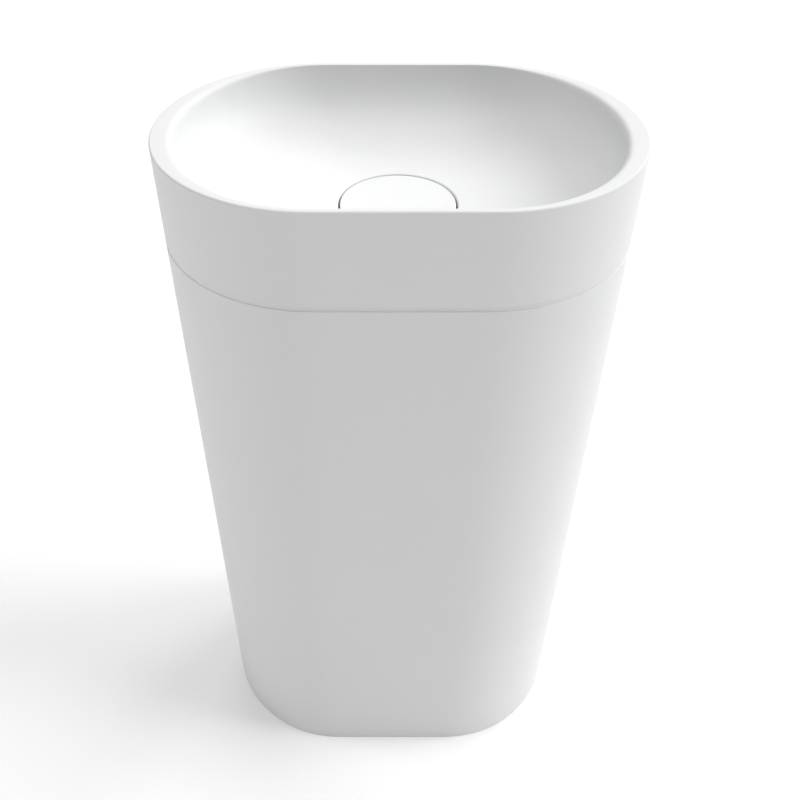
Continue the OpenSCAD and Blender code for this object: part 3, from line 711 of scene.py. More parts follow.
def drill(r, z_low, z_high, around=48, mouth=None, flare=0.3 * MM):
    """A round cutter that runs CUT past its mouth, flared there so that the hole's edge is softened."""
    rows = [(r, z_low), (r, z_high)]
    if mouth is not None:
        side = 1 if abs(z_high - mouth - CUT) < abs(mouth - z_low - CUT) else -1
        t = np.linspace(0, math.pi / 2, 4)
        lip = np.stack([r + flare * (1 - np.cos(t)), mouth - side * flare * (1 - np.sin(t))], -1)
        outer = [(r + flare, z_high if side > 0 else z_low)]
        inner = [(r, z_low if side > 0 else z_high)]
        rows = np.concatenate([inner, lip, outer])
    return capped_shell(turn(np.asarray(rows, float), around))


def slab_outline(w, h, corner, grow=0.0, steps=8):
    """A rectangle with round corners about the middle: each corner is a quarter circle of corner + grow."""
    q = np.linspace(0, math.pi / 2, steps)
    r = corner + grow
    quarters = [np.stack([sx * (w / 2 - corner) + r * np.cos(q + turned), sz * (h / 2 - corner)
                          + r * np.sin(q + turned)], -1)
                for sx, sz, turned in ((1, 1, 0), (-1, 1, math.pi / 2), (-1, -1, math.pi),
                                       (1, -1, 1.5 * math.pi))]
    return np.concatenate(quarters)


def slab(w, h, corner, levels, steps=8):
    """A flat piece in the XZ plane from levels of (grow, y): its outline grown or shrunk at each depth."""
    rings = []
    for grow, y in levels:
        flat = slab_outline(w, h, corner, grow, steps)
        rings.append(np.stack([flat[:, 0], np.full(len(flat), y), flat[:, 1]], -1))
    return capped_shell(np.stack(rings))


def soft_levels(y_low, y_high, edge_low, edge_high, steps=4):
    """Levels of a slab whose two faces have rounded edges: grow = edge times (sine - 1)."""
    q = np.linspace(0, math.pi / 2, steps)
    near = [(edge_low * (math.sin(t) - 1), y_low + edge_low * (1 - math.cos(t))) for t in q]
    far = [(edge_high * (math.cos(t) - 1), y_high - edge_high * (1 - math.sin(t))) for t in q]
    return near + far


def box_shell(low_corner, high_corner):
    """A plain block for cutting."""
    (x0, y0, z0), (x1, y1, z1) = low_corner, high_corner
    loop = np.array([(x0, y0), (x1, y0), (x1, y1), (x0, y1)])
    return capped_shell(np.stack([np.column_stack([loop, np.full(4, z)]) for z in (z0, z1)]))


def hexagon(a, flat):
    """Radius of a hexagon with a corner on +X: the flat's distance over the cosine from its middle."""
    return flat / np.cos(np.mod(a, TAU / 6) - TAU / 12)


# ---- Basin ----

def obround(r, around):
    """Points of an obround, equally shared between the straights and the ends:
    a middle line of half length FLAT_X, and everywhere the distance r from it."""
    ends = around * 3 // 8
    flats = around // 2 - ends
    a = np.linspace(-math.pi / 2, math.pi / 2, ends, endpoint=False)
    x = np.linspace(FLAT_X, -FLAT_X, flats, endpoint=False)
    right = np.stack([FLAT_X + r * np.cos(a), r * np.sin(a)], -1)
    back = np.stack([x, np.full(flats, r)], -1)
    half = np.concatenate([right, back])
    return np.concatenate([half, -half])


def edge_radius(angle, sizes, grow=0.0):
    """Distance from the middle to the bowl's edge in a direction: straight sides, elliptical ends."""
    rx = HALF_W - FLAT_X - sizes.rim_end + grow
    ry = END_R - sizes.rim_side + grow
    c = np.abs(np.cos(angle))
    s = np.maximum(np.abs(np.sin(angle)), 1e-9)
    qa = (c / rx) ** 2 + (s / ry) ** 2
    qb = -2 * FLAT_X * c / rx**2
    qc = (FLAT_X / rx) ** 2 - 1
    end = (-qb + np.sqrt(np.maximum(qb**2 - 4 * qa * qc, 0))) / (2 * qa)
    return np.where(ry / s * c <= FLAT_X, ry / s, end)


def bowl_share(u, sizes):
    """Share of the depth at a share u of the way out: a superellipse and an even fall, added."""
    u = np.clip(u, 0, 1)
    curve = (1 - u**sizes.fullness) ** (1 / sizes.fullness)
    return (1 - sizes.fall) * curve + sizes.fall * (1 - u)


def flat_ring(xy, z):
    """A ring of plan points at one height, or at a height for each point."""
    return np.concatenate([xy, np.broadcast_to(np.reshape(z, (-1, 1)), (len(xy), 1))], 1)


def basin_rings(sizes):
    """The basin's whole skin as one closed section carried round it. Going up the outside and down the
    inside: skirt, rim, bowl, well, waste hole, well's underside, shell's underside and skirt's inner face.
    The bowl at share u = cos(p) ** (2 / n) of the way out is as deep as a superellipse of power n."""
    around, edge, wall = sizes.around, sizes.edge, sizes.shell_wall
    outer = obround(END_R, around)
    angle = np.arctan2(outer[:, 1], outer[:, 0])
    way = np.stack([np.cos(angle), np.sin(angle)], -1)
    rim = edge_radius(angle, sizes)
    past_flat = np.clip((np.abs(outer[:, 0]) - FLAT_X) / END_R, 0, 1)
    end_share = past_flat**2 * (3 - 2 * past_flat)
    roll = sizes.roll_side + (sizes.roll_end - sizes.roll_side) * end_share
    depth = RIM_Z - COVER_TOP
    well_r = COVER_R + sizes.well_gap
    eye = well_r - 4 * MM
    rings = []

    def up(r, z_levels):
        rings.extend(flat_ring(obround(r, around), z) for z in z_levels)

    def curve(r, z, bulge_r, bulge_z, steps=5):
        """A quarter round on the outline. Going outwards, the radius moves with the sine of the angle and
        the height with one less its cosine, and going inwards it is the other way round."""
        for q in np.linspace(0, math.pi / 2, steps):
            early, late = math.sin(q), 1 - math.cos(q)
            in_r, in_z = (early, late) if bulge_r > 0 else (late, early)
            rings.append(flat_ring(obround(r + bulge_r * in_r, around), z + bulge_z * in_z))

    groove = END_R - sizes.shadow_depth
    lip = SEAT_Z + sizes.shadow_h
    curve(groove - sizes.seat_edge, SEAT_Z, sizes.seat_edge, sizes.seat_edge)
    up(groove, [SEAT_Z + 1.5 * edge, lip - 0.5 * edge, lip])
    curve(END_R - edge, lip, edge, edge)
    up(END_R, np.linspace(lip + 2 * edge, RIM_Z - sizes.rim_round - edge, 12))
    curve(END_R, RIM_Z - sizes.rim_round, -sizes.rim_round, sizes.rim_round, 8)

    # across the rim's top and over the roll into the bowl
    rest = (roll / ((1 - sizes.fall) * depth)) ** (sizes.fullness / 2)
    first = np.arcsin(np.clip(rest, 0, 1))
    u_first = np.cos(first) ** (2 / sizes.fullness)
    roll_in = eye + u_first * (rim - eye)
    roll_z = RIM_Z - depth * bowl_share(u_first, sizes)
    roll_out = rim + roll
    outer_way = obround(END_R - sizes.rim_round, around)
    roll_point = way * roll_out[:, None]
    for t in (0.33, 0.66):
        rings.append(flat_ring(outer_way * (1 - t) + roll_point * t, RIM_Z))
    for t in np.linspace(0, 1, 10):
        r = (1 - t) ** 2 * roll_out + 2 * t * (1 - t) * rim + t**2 * roll_in
        z = (1 - t) ** 2 * RIM_Z + 2 * t * (1 - t) * RIM_Z + t**2 * roll_z
        rings.append(flat_ring(way * r[:, None], z))
    mouth_r = well_r + sizes.mouth_edge
    last = np.arccos(((mouth_r - eye) / (rim - eye)) ** (sizes.fullness / 2))
    for t in np.linspace(0, 1, 72)[1:]:
        p = first + (last - first) * t
        u = np.cos(p) ** (2 / sizes.fullness)
        r = eye + u * (rim - eye)
        rings.append(flat_ring(way * r[:, None], RIM_Z - depth * bowl_share(u, sizes)))

    # the well, its hole and its underside, all round
    mouth_z = rings[-1][:, 2].min()
    t = np.linspace(0, math.pi / 2, 6)[1:]
    for q in t:
        rings.append(flat_ring(way * (mouth_r - sizes.mouth_edge * math.sin(q)),
                               mouth_z - sizes.mouth_edge * (1 - math.cos(q))))
    inner = rounded_section(
        [(well_r, mouth_z - sizes.mouth_edge), (well_r, WELL_FLOOR), (sizes.bore_r, WELL_FLOOR),
         (sizes.bore_r, WELL_UNDER), (well_r + sizes.well_wall, WELL_UNDER),
         (well_r + sizes.well_wall, WELL_UNDER + 6 * MM)],
        [0, 3 * MM, 0.5 * MM, 0.5 * MM, 2 * MM, 0])
    for r, z in inner[1:]:
        rings.append(flat_ring(way * r, z))

    # the shell's underside out to the skirt's inner face
    skirt = obround(END_R - sizes.skirt_wall, around)
    skirt_r = np.linalg.norm(skirt, axis=1)
    skirt_angle = np.arctan2(skirt[:, 1], skirt[:, 0])
    grown = edge_radius(skirt_angle, sizes, wall)
    shell_way = np.stack([np.cos(skirt_angle), np.sin(skirt_angle)], -1)
    for t in np.linspace(0, 1, 24) ** 0.6:
        r = (well_r + sizes.well_wall) * (1 - t) + skirt_r * t
        u = (r - eye) / (grown - eye)
        rings.append(flat_ring(shell_way * r[:, None], RIM_Z - (depth + wall) * bowl_share(u, sizes)))
    up(END_R - sizes.skirt_wall, [SEAT_Z + 2 * edge, SEAT_Z + edge])
    up(END_R - sizes.skirt_wall + edge, [SEAT_Z])
    return np.stack(rings)


def bowl_cutter(sizes, grow):
    """The space inside the bowl, grown into its shell: it trims what stands under the shell."""
    a = TAU * np.arange(96) / 96
    way = np.stack([np.cos(a), np.sin(a)], -1)
    rim = edge_radius(a, sizes, grow)
    eye = COVER_R + sizes.well_gap - 4 * MM
    depth = RIM_Z - COVER_TOP + grow
    rings = [flat_ring(way * (eye + u * (rim - eye))[:, None], RIM_Z - depth * bowl_share(u, sizes))
             for u in np.sin(np.linspace(0, math.pi / 2, 20))]
    rings.append(flat_ring(way * rim[:, None], RIM_Z + CUT))
    return capped_shell(np.stack(rings))


def four_ways(x, y):
    """The four places (+-x, +-y)."""
    return [(sx * x, sy * y) for sx in (-1, 1) for sy in (-1, 1)]


class BASIN_OT_basin(bpy.types.Operator):
    """Builds the basin: skirt, thin rim, dished bowl, well, hollow underside and its lugs"""
    bl_idname = "basin.build_basin"
    bl_label = "Basin"

    def execute(self, context):
        sizes = context.scene.basin_sizes
        skin = ring_shell(basin_rings(sizes))
        lugs, holes = [], []
        bowl = bowl_cutter(sizes, 5 * MM)
        for x, y in four_ways(SCREW_X, SCREW_Y):
            lug = moved(capped_shell(post(LUG_R, SEAT_Z, BASIN_LUG_TOP, 0.8 * MM)), (x, y, 0))
            lugs.append(carved(lug, cuts=[bowl]))
            holes.append(moved(drill(INSERT_R, SEAT_Z - CUT, high("basin_inserts").z + MM, mouth=SEAT_Z),
                               (x, y, 0)))
        for x in (-DOWEL_X, DOWEL_X):
            lug = moved(capped_shell(post(LUG_R, SEAT_Z, BASIN_LUG_TOP, 0.8 * MM)), (x, 0, 0))
            lugs.append(carved(lug, cuts=[bowl]))
            holes.append(moved(drill(DOWEL_R + FIT, SEAT_Z - CUT, high("locating_dowels").z + MM,
                                     mouth=SEAT_Z), (x, 0, 0)))
        add_piece("basin_shell", [carved(skin, lugs, holes)], "solid_surface", "fixture", ["basin"])
        return {"FINISHED"}


class BASIN_OT_column(bpy.types.Operator):
    """Builds the hollow column with its gasket groove, lugs, service opening and fixing holes"""
    bl_idname = "basin.build_column"
    bl_label = "Column"

    def execute(self, context):
        sizes = context.scene.basin_sizes
        groove_in, groove_out = high("seat_gasket").y - GASKET_W - FIT, high("seat_gasket").y + FIT
        groove_z = low("seat_gasket").z
        section = rounded_section(
            [(COLUMN_IN, 0), (END_R, 0), (END_R, SEAT_Z), (groove_out, SEAT_Z), (groove_out, groove_z),
             (groove_in, groove_z), (groove_in, SEAT_Z), (COLUMN_IN, SEAT_Z)],
            [0.5 * MM, 1.5 * MM, sizes.column_edge, 0.3 * MM, 0.2 * MM, 0.2 * MM, 0.3 * MM, 0.5 * MM])
        skin = ring_shell(np.stack([flat_ring(obround(r, sizes.around), z) for r, z in section]))
        lug_low = high("basin_washers").z
        lugs, cuts = [], []
        for x, y in four_ways(SCREW_X, SCREW_Y):
            lugs.append(moved(capped_shell(post(LUG_R, lug_low, SEAT_Z, 0.8 * MM)), (x, y, 0)))
            cuts.append(moved(drill(SCREW_R + 0.3 * MM, lug_low - CUT, SEAT_Z + CUT), (x, y, 0)))
        for x in (-DOWEL_X, DOWEL_X):
            lugs.append(moved(capped_shell(post(LUG_R, lug_low, SEAT_Z, 0.8 * MM)), (x, 0, 0)))
            cuts.append(moved(drill(DOWEL_R + FIT, low("locating_dowels").z - MM, SEAT_Z + CUT,
                                    mouth=SEAT_Z), (x, 0, 0)))
        cuts += self.service_cuts()
        for x in (-BRACKET_X, BRACKET_X):
            for side in (-1, 1):
                for dx in (-BRACKET_SCREW_DX, BRACKET_SCREW_DX):
                    hole = drill(INSERT_R, COLUMN_IN - CUT, high("bracket_inserts").y + MM, 32,
                                 mouth=COLUMN_IN)
                    cuts.append(moved(hole, (x + dx, 0, BRACKET_SCREW_Z), (0, 2, 1), (1, side, 1)))
        for z in CLIP_SCREW_Z:
            hole = drill(CLIP_SCREW_R + FIT, COLUMN_IN - CUT, -low("clip_screws").y + MM, 32)
            cuts.append(moved(hole, (0, 0, z), (0, 2, 1), (1, -1, 1)))
        add_piece("column_shell", [carved(skin, lugs, cuts)], "solid_surface", "fixture", ["pedestal"])
        return {"FINISHED"}

    def service_cuts(self):
        """The panel's rebate with its softened mouth, the way through, the finger slot and the pockets."""
        floor = low("access_panel").y - TOUCH
        mouth = 0.5 * MM
        q = np.linspace(0, math.pi / 2, 4)
        round_edge = [(mouth * (1 - math.cos(t)), END_R - mouth * (1 - math.sin(t))) for t in q]
        levels = [(0.0, floor), *round_edge, (mouth, END_R + CUT)]
        rebate = slab(PANEL_W + 2 * PANEL_GAP, PANEL_H + 2 * PANEL_GAP, PANEL_ROUND + PANEL_GAP, levels)
        way = slab(PANEL_W - 2 * LEDGE_W, PANEL_H - 2 * LEDGE_W, PANEL_ROUND / 2,
                   [(0.6 * MM, COLUMN_IN - CUT), (0.6 * MM, COLUMN_IN), (0, COLUMN_IN + 0.6 * MM),
                    (0, floor + CUT)])
        bottom = -PANEL_H / 2 - PANEL_GAP
        slot = box_shell((-NOTCH_R, COLUMN_IN - CUT, bottom),
                         (NOTCH_R, floor + CUT, bottom + LEDGE_W + PANEL_GAP + PANEL_ROUND / 2))
        cuts = [moved(part, (0, 0, PANEL_MID)) for part in (rebate, way, slot)]
        for x, z in MAGNET_PLACES:
            pocket = drill(MAGNET_R + FIT, low("panel_magnets").y, floor + CUT, 40, mouth=floor)
            cuts.append(moved(pocket, (x, 0, z), (0, 2, 1)))
        return cuts


class BASIN_OT_panel(bpy.types.Operator):
    """Builds the lift-off service panel with its finger notch, its strikes and the column's magnets"""
    bl_idname = "basin.build_panel"
    bl_label = "Service panel"

    def execute(self, context):
        inner, outer = low("access_panel").y, high("access_panel").y
        levels = soft_levels(inner, outer, 0.4 * MM, 0.6 * MM)
        plate = moved(slab(PANEL_W, PANEL_H, PANEL_ROUND, levels, 10), (0, 0, PANEL_MID))
        notch = moved(drill(NOTCH_R, inner - CUT, outer + CUT, 96, mouth=outer, flare=0.6 * MM),
                      (0, 0, PANEL_MID - PANEL_H / 2), (0, 2, 1))
        recesses = [moved(drill(MAGNET_R + FIT, inner - CUT, high("panel_strikes").y, 40, mouth=inner),
                          (x, 0, z), (0, 2, 1)) for x, z in MAGNET_PLACES]
        add_piece("service_panel", [carved(plate, cuts=[notch, *recesses])], "panel_surface", "panel",
                  ["access_panel"])
        for name, node_name, slot, body, edge in (
                ("catch_magnets", "panel_magnets", "magnet", "fixture", 0.35 * MM),
                ("catch_strikes", "panel_strikes", "stainless", "panel", 0.15 * MM)):
            disc = capped_shell(post(MAGNET_R, low(node_name).y, high(node_name).y, edge, 64))
            add_piece(name, [moved(disc, (x, 0, z), (0, 2, 1)) for x, z in MAGNET_PLACES], slot, body,
                      [node_name])
        return {"FINISHED"}


class BASIN_OT_cover(bpy.types.Operator):
    """Builds the flush waste cover: a disc with soft edges and a socket for its insert"""
    bl_idname = "basin.build_cover"
    bl_label = "Waste cover"

    def execute(self, context):
        section = np.concatenate([
            arc((COVER_R, COVER_LOW), (0, COVER_LOW), (COVER_R, COVER_TOP), 0.8 * MM),
            arc((COVER_R, COVER_TOP), (COVER_R, COVER_LOW), (0, COVER_TOP), 1.8 * MM, 7)])
        disc = capped_shell(turn(section, 192))
        socket = drill(high("cover_insert").x + FIT, COVER_LOW - CUT, high("cover_insert").z + FIT, 64,
                       mouth=COVER_LOW)
        add_piece("cover_disc", [carved(disc, cuts=[socket])], "cover_surface", "cover", ["waste_cover"])
        return {"FINISHED"}


def screw_shell(r, length, head_r, head_h, pitch, depth):
    """A pan-head screw along +Z from its head's underside at z = 0. Its head is a low dome with a hexagon
    socket: the rings go from the shank's point round the head and down the socket to its floor."""
    shank = np.concatenate([
        arc((r, length), (0, length), (r, 0), 0.6 * MM),
        wall(r, 0.4 * MM, length - 0.7 * MM, pitch / 5)[::-1],
        arc((r, 0), (r, length), (head_r, 0), 0.25 * MM),
        arc((head_r, 0), (0, 0), (head_r, -head_h), 0.3 * MM)])
    q = np.linspace(0, 1, 8)
    dome_r = head_r * (1 - 0.42 * q**2)
    dome_z = -head_h * (0.55 + 0.45 * np.sqrt(1 - (1 - q) ** 2))
    rows = np.concatenate([shank, np.stack([dome_r, dome_z], -1)])
    rings = threaded(turn(rows, 48), 0.6 * MM, length - 0.4 * MM, pitch, depth, 0.9 * r)
    a = TAU * np.arange(48) / 48
    socket_r = hexagon(a, head_r * 0.43)
    socket = [np.stack([socket_r * k * np.cos(a), socket_r * k * np.sin(a), np.full(48, z)], -1)
              for k, z in ((1.06, -head_h), (1.0, -head_h + 0.2 * MM), (1.0, -head_h / 2),
                           (0.96, -head_h / 2 + 0.1 * MM))]
    return capped_shell(np.concatenate([rings, np.stack(socket)]))


class BASIN_OT_fixings(bpy.types.Operator):
    """Builds the screws, washers, inserts and dowels, the seat gasket and the floor brackets"""
    bl_idname = "basin.build_fixings"
    bl_label = "Fixings"

    def execute(self, context):
        self.basin_fixings()
        self.bracket_fixings()
        return {"FINISHED"}

    def basin_fixings(self):
        places = four_ways(SCREW_X, SCREW_Y)
        under = low("basin_washers").z
        screw = screw_shell(SCREW_R, high("basin_screws").z - under, HEAD_R, HEAD_H, *SCREW_THREAD)
        screw = moved(screw, (0, 0, under))
        add_piece("seat_screws", [moved(screw, (x, y, 0)) for x, y in places], "stainless", "fixture",
                  ["basin_screws"])
        top = high("basin_washers").z
        washer = ring_shell(soft_ring(SCREW_R + TOUCH, WASHER_R, under, top, 0.25 * MM, 64))
        add_piece("seat_washers", [moved(washer, (x, y, 0)) for x, y in places], "stainless", "fixture",
                  ["basin_washers"])
        insert = insert_shell(SEAT_Z, high("basin_inserts").z)
        add_piece("seat_inserts", [moved(insert, (x, y, 0)) for x, y in places], "bare_brass", "fixture",
                  ["basin_inserts"])
        dowel = capped_shell(post(DOWEL_R, low("locating_dowels").z, high("locating_dowels").z, 0.8 * MM))
        add_piece("seat_dowels", [moved(dowel, (x, 0, 0)) for x in (-DOWEL_X, DOWEL_X)], "stainless",
                  "fixture", ["locating_dowels"])
        outer = high("seat_gasket").y
        section = rounded_section([(outer - GASKET_W, low("seat_gasket").z), (outer, low("seat_gasket").z),
                                   (outer, SEAT_Z), (outer - GASKET_W, SEAT_Z)], 0.3 * MM)
        around = bpy.context.scene.basin_sizes.around
        ring = ring_shell(np.stack([flat_ring(obround(r, around), z) for r, z in section]))
        add_piece("seat_ring", [ring], "black_rubber", "fixture", ["seat_gasket"])

    def bracket_fixings(self):
        far = COLUMN_IN
        t = high("floor_brackets").y - BRACKET_FACE
        leg = high("floor_brackets").z
        foot = far - BRACKET_LEG
        profile = rounded_section(
            [(foot, 0), (far, 0), (far, leg), (far - t, leg), (far - t, t), (foot, t)],
            [0.5 * MM, 3.2 * MM, 0.5 * MM, 0.5 * MM, 1.2 * MM, 0.5 * MM])
        edge = 0.4 * MM
        rows = []
        for x, inset in ((-BRACKET_W / 2, edge), (-BRACKET_W / 2 + edge, 0), (BRACKET_W / 2 - edge, 0),
                         (BRACKET_W / 2, edge)):
            middle = np.array([far - t / 2, t / 2])
            pull = np.clip(profile - middle, -inset, inset)
            flat = profile - pull
            rows.append(np.stack([np.full(len(flat), x), flat[:, 0], flat[:, 1]], -1))
        plate = capped_shell(np.stack(rows))
        holes = [moved(drill(FLOOR_HOLE_R, -CUT, t + CUT, mouth=t), (0, BRACKET_HOLE_Y, 0))]
        holes += [moved(drill(SCREW_R + FREE, far - t - CUT, far + CUT, 32), (dx, 0, BRACKET_SCREW_Z),
                        (0, 2, 1)) for dx in (-BRACKET_SCREW_DX, BRACKET_SCREW_DX)]
        bracket = carved(plate, cuts=holes)
        ways = [(x, side) for x in (-BRACKET_X, BRACKET_X) for side in (-1, 1)]
        add_piece("floor_angles", [moved(bracket, (x, 0, 0), flip=(1, side, 1)) for x, side in ways],
                  "stainless", "fixture", ["floor_brackets"])
        reach = high("bracket_screws").y - BRACKET_FACE
        screw = screw_shell(SCREW_R, reach, HEAD_R, HEAD_H, *SCREW_THREAD)
        insert = insert_shell(COLUMN_IN, high("bracket_inserts").y)
        holes = [(x + dx, side) for x, side in ways for dx in (-BRACKET_SCREW_DX, BRACKET_SCREW_DX)]
        add_piece("angle_screws",
                  [moved(screw, (x, side * BRACKET_FACE, BRACKET_SCREW_Z), (0, 2, 1), (1, side, 1))
                   for x, side in holes], "stainless", "fixture", ["bracket_screws"])
        add_piece("angle_inserts", [moved(insert, (x, 0, BRACKET_SCREW_Z), (0, 2, 1), (1, side, 1))
                                    for x, side in holes], "bare_brass", "fixture", ["bracket_inserts"])


def insert_shell(z_low, z_high):
    """A threaded insert: a knurled brass sleeve."""
    section = np.concatenate([
        arc((INSERT_R - FIT, z_low), (SCREW_R, z_low), (INSERT_R - FIT, z_high), 0.3 * MM),
        wall(INSERT_R - FIT, z_low + 0.4 * MM, z_high - 0.4 * MM, 0.35 * MM),
        arc((INSERT_R - FIT, z_high), (INSERT_R - FIT, z_low), (SCREW_R, z_high), 0.3 * MM),
        arc((SCREW_R + FIT, z_high), (INSERT_R, z_high), (SCREW_R + FIT, z_low), 0.3 * MM),
        arc((SCREW_R + FIT, z_low), (SCREW_R + FIT, z_high), (INSERT_R, z_low), 0.3 * MM)])
    rings = knurled(turn(section, 96), 12, 2.4 * MM, 0.35 * MM, z_low, z_high, INSERT_R - 2 * FIT)
    return ring_shell(rings)


class BASIN_OT_waste(bpy.types.Operator):
    """Builds the waste: flange and threaded tail, seals, backnut, click cartridge, stem and plug"""
    bl_idname = "basin.build_waste"
    bl_label = "Waste"

    def execute(self, context):
        self.flange()
        self.seals()
        self.backnut()
        self.click_parts()
        return {"FINISHED"}

    def flange(self):
        section = np.concatenate([
            [(TAIL_BORE_R, TAIL_END)],
            arc((TAIL_R, TAIL_END), (TAIL_BORE_R, TAIL_END), (TAIL_R, FLANGE_LOW), 0.6 * MM),
            wall(TAIL_R, TAIL_END + MM, FLANGE_LOW - 0.6 * MM, 0.4 * MM),
            arc((TAIL_R, FLANGE_LOW), (TAIL_R, TAIL_END), (FLANGE_R, FLANGE_LOW), 0.5 * MM),
            arc((FLANGE_R, FLANGE_LOW), (TAIL_R, FLANGE_LOW), (FLANGE_R, FLANGE_TOP), 0.4 * MM),
            arc((FLANGE_R, FLANGE_TOP), (FLANGE_R, FLANGE_LOW), (TAIL_R, FLANGE_TOP), 1.2 * MM),
            arc((TAIL_BORE_R, FLANGE_TOP), (FLANGE_R, FLANGE_TOP), (TAIL_BORE_R, TAIL_END), 0.8 * MM)])
        rings = threaded(turn(section, 128), TAIL_END, WELL_UNDER + 6 * MM, *TAIL_THREAD)
        foot = arc((SPIDER_HUB_R, SPIDER_Z), (0, SPIDER_Z), (SPIDER_HUB_R, SPIDER_TOP), 0.4 * MM)
        crown = arc((SPIDER_HUB_R, SPIDER_TOP), (0, SPIDER_TOP), (SPIDER_HUB_R, SPIDER_Z), 0.4 * MM)
        hub = turn(np.concatenate([foot, crown[::-1]]), 64)
        arms = []
        for k in range(3):
            turned = k * TAU / 3
            arm = slab_arm(SPIDER_HUB_R - 2 * MM, TAIL_BORE_R + 0.5 * MM, 4 * MM, SPIDER_Z, SPIDER_TOP)
            points, corners, sizes = arm
            c, q = math.cos(turned), math.sin(turned)
            arms.append(outward(points @ np.array([[c, q, 0], [-q, c, 0], [0, 0, 1]]), corners, sizes))
        hole = drill(CARTRIDGE_R + FIT, SPIDER_Z - CUT, SPIDER_TOP + CUT)
        body = carved(ring_shell(rings), adds=[capped_shell(hub), *arms], cuts=[hole])
        add_piece("waste_body", [body], "chromed_brass", "fixture", ["waste_flange"])

    def seals(self):
        for name, node_name, slot, body, r_in, edge in (
                ("foam_seal", "flange_seal", "grey_seal", "fixture", TAIL_R + FIT, 0.35 * MM),
                ("tapered_gasket", "under_gasket", "black_rubber", "fixture", TAIL_R + FIT, 0.8 * MM),
                ("lip_seal", "plug_seal", "black_rubber", "cover", PLUG_CORE_R + FIT, 0.6 * MM)):
            ring = soft_ring(r_in, high(node_name).x, low(node_name).z, high(node_name).z, edge, 128)
            add_piece(name, [ring_shell(ring)], slot, body, [node_name])

    def backnut(self):
        """A hexagon nut: the corners of its two faces are cut off by a cone of 30 degrees."""
        bottom, top = low("backnut").z, high("backnut").z
        around = 144
        a = TAU * np.arange(around) / around
        flat = high("backnut").x * math.cos(TAU / 12)
        corner = hexagon(a, flat)
        cone_r = flat * 0.97
        drop = (corner - cone_r) * math.tan(math.radians(30))
        bore = TAIL_R + FIT
        rows = [(np.full(around, bore), np.full(around, bottom + 0.6 * MM)),
                (np.full(around, bore + 0.6 * MM), np.full(around, bottom)),
                (np.full(around, cone_r), np.full(around, bottom)), (corner, bottom + drop),
                (corner, top - drop), (np.full(around, cone_r), np.full(around, top)),
                (np.full(around, bore + 0.6 * MM), np.full(around, top)),
                (np.full(around, bore), np.full(around, top - 0.6 * MM))]
        rings = np.stack([np.stack([r * np.cos(a), r * np.sin(a), z], -1) for r, z in rows])
        add_piece("hexagon_nut", [ring_shell(rings)], "bare_brass", "fixture", ["backnut"])

    def click_parts(self):
        top, bottom = high("click_cartridge").z, low("click_cartridge").z
        bore_top, stem_top = top - CARTRIDGE_CAP, high("plunger_stem").z
        flange_top = SPIDER_TOP + CARTRIDGE_FLANGE
        section = rounded_section(
            [(POLE, bottom), (CARTRIDGE_R, bottom), (CARTRIDGE_R, SPIDER_TOP),
             (SPIDER_HUB_R - MM, SPIDER_TOP), (SPIDER_HUB_R - MM, flange_top), (CARTRIDGE_R, flange_top),
             (CARTRIDGE_R, top), (STEM_R + FREE, top), (STEM_R + FREE, bore_top),
             (CARTRIDGE_BORE_R, bore_top), (CARTRIDGE_BORE_R, bottom + CARTRIDGE_FLOOR),
             (POLE, bottom + CARTRIDGE_FLOOR)],
            [r * MM for r in (0, 0.8, 0, 0.3, 0.3, 0.3, 0.7, 0.3, 0.2, 0.2, 0.3, 0)])
        add_piece("click_barrel", [capped_shell(turn(section, 64))], "bare_brass", "fixture",
                  ["click_cartridge"])
        self.spring()
        collar_z = low("plunger_stem").z
        collar_r, collar_top = high("plunger_stem").x, collar_z + COLLAR_T
        rows = np.concatenate([
            arc((collar_r, collar_z), (0, collar_z), (collar_r, collar_top), 0.3 * MM),
            arc((collar_r, collar_top), (collar_r, collar_z), (0, collar_top), 0.3 * MM),
            arc((STEM_R, collar_top), (collar_r, collar_top), (STEM_R, stem_top), 0.2 * MM),
            wall(STEM_R, collar_top + 0.4 * MM, stem_top - 0.6 * MM, 0.2 * MM),
            arc((STEM_R, stem_top), (STEM_R, collar_z), (0, stem_top), 0.5 * MM)])
        plug_low, plug_top = low("waste_plug").z, high("waste_plug").z
        rings = threaded(turn(rows, 48), plug_low + MM, stem_top, 0.8 * MM, 0.3 * MM, STEM_R - FIT)
        add_piece("click_stem", [capped_shell(rings)], "stainless", "stem", ["plunger_stem"])
        disc_low, disc_top, plug_r = high("plug_seal").z, low("cover_insert").z, high("waste_plug").x
        grip = high("cover_insert").x
        hub = grip + 2 * MM
        section = rounded_section(
            [(STEM_R + FREE, plug_low), (PLUG_CORE_R, plug_low), (PLUG_CORE_R, disc_low),
             (plug_r, disc_low), (plug_r, disc_top), (hub, disc_top), (hub, plug_top),
             (grip + FIT, plug_top), (grip + FIT, disc_top), (STEM_R + FREE, disc_top)],
            [0.3 * MM, 0.8 * MM, 0, 0.6 * MM, 0.9 * MM, 0.8 * MM, 0.4 * MM, 0.3 * MM, 0, 0.3 * MM])
        add_piece("plug_disc", [ring_shell(turn(section, 128))], "white_plastic", "cover", ["waste_plug"])
        z_low, z_high = low("cover_insert").z, high("cover_insert").z
        section = np.concatenate([
            arc((grip, z_low), (STEM_R, z_low), (grip, z_high), 0.4 * MM),
            wall(grip, z_low + 0.5 * MM, z_high - 0.5 * MM, 0.3 * MM),
            arc((grip, z_high), (grip, z_low), (STEM_R, z_high), 0.4 * MM),
            arc((STEM_R + FREE, z_high), (grip, z_high), (STEM_R + FREE, z_low), 0.3 * MM),
            arc((STEM_R + FREE, z_low), (STEM_R + FREE, z_high), (grip, z_low), 0.3 * MM)])
        rings = knurled(turn(section, 96), 16, 2.4 * MM, 0.35 * MM, plug_top, z_high, grip - FIT)
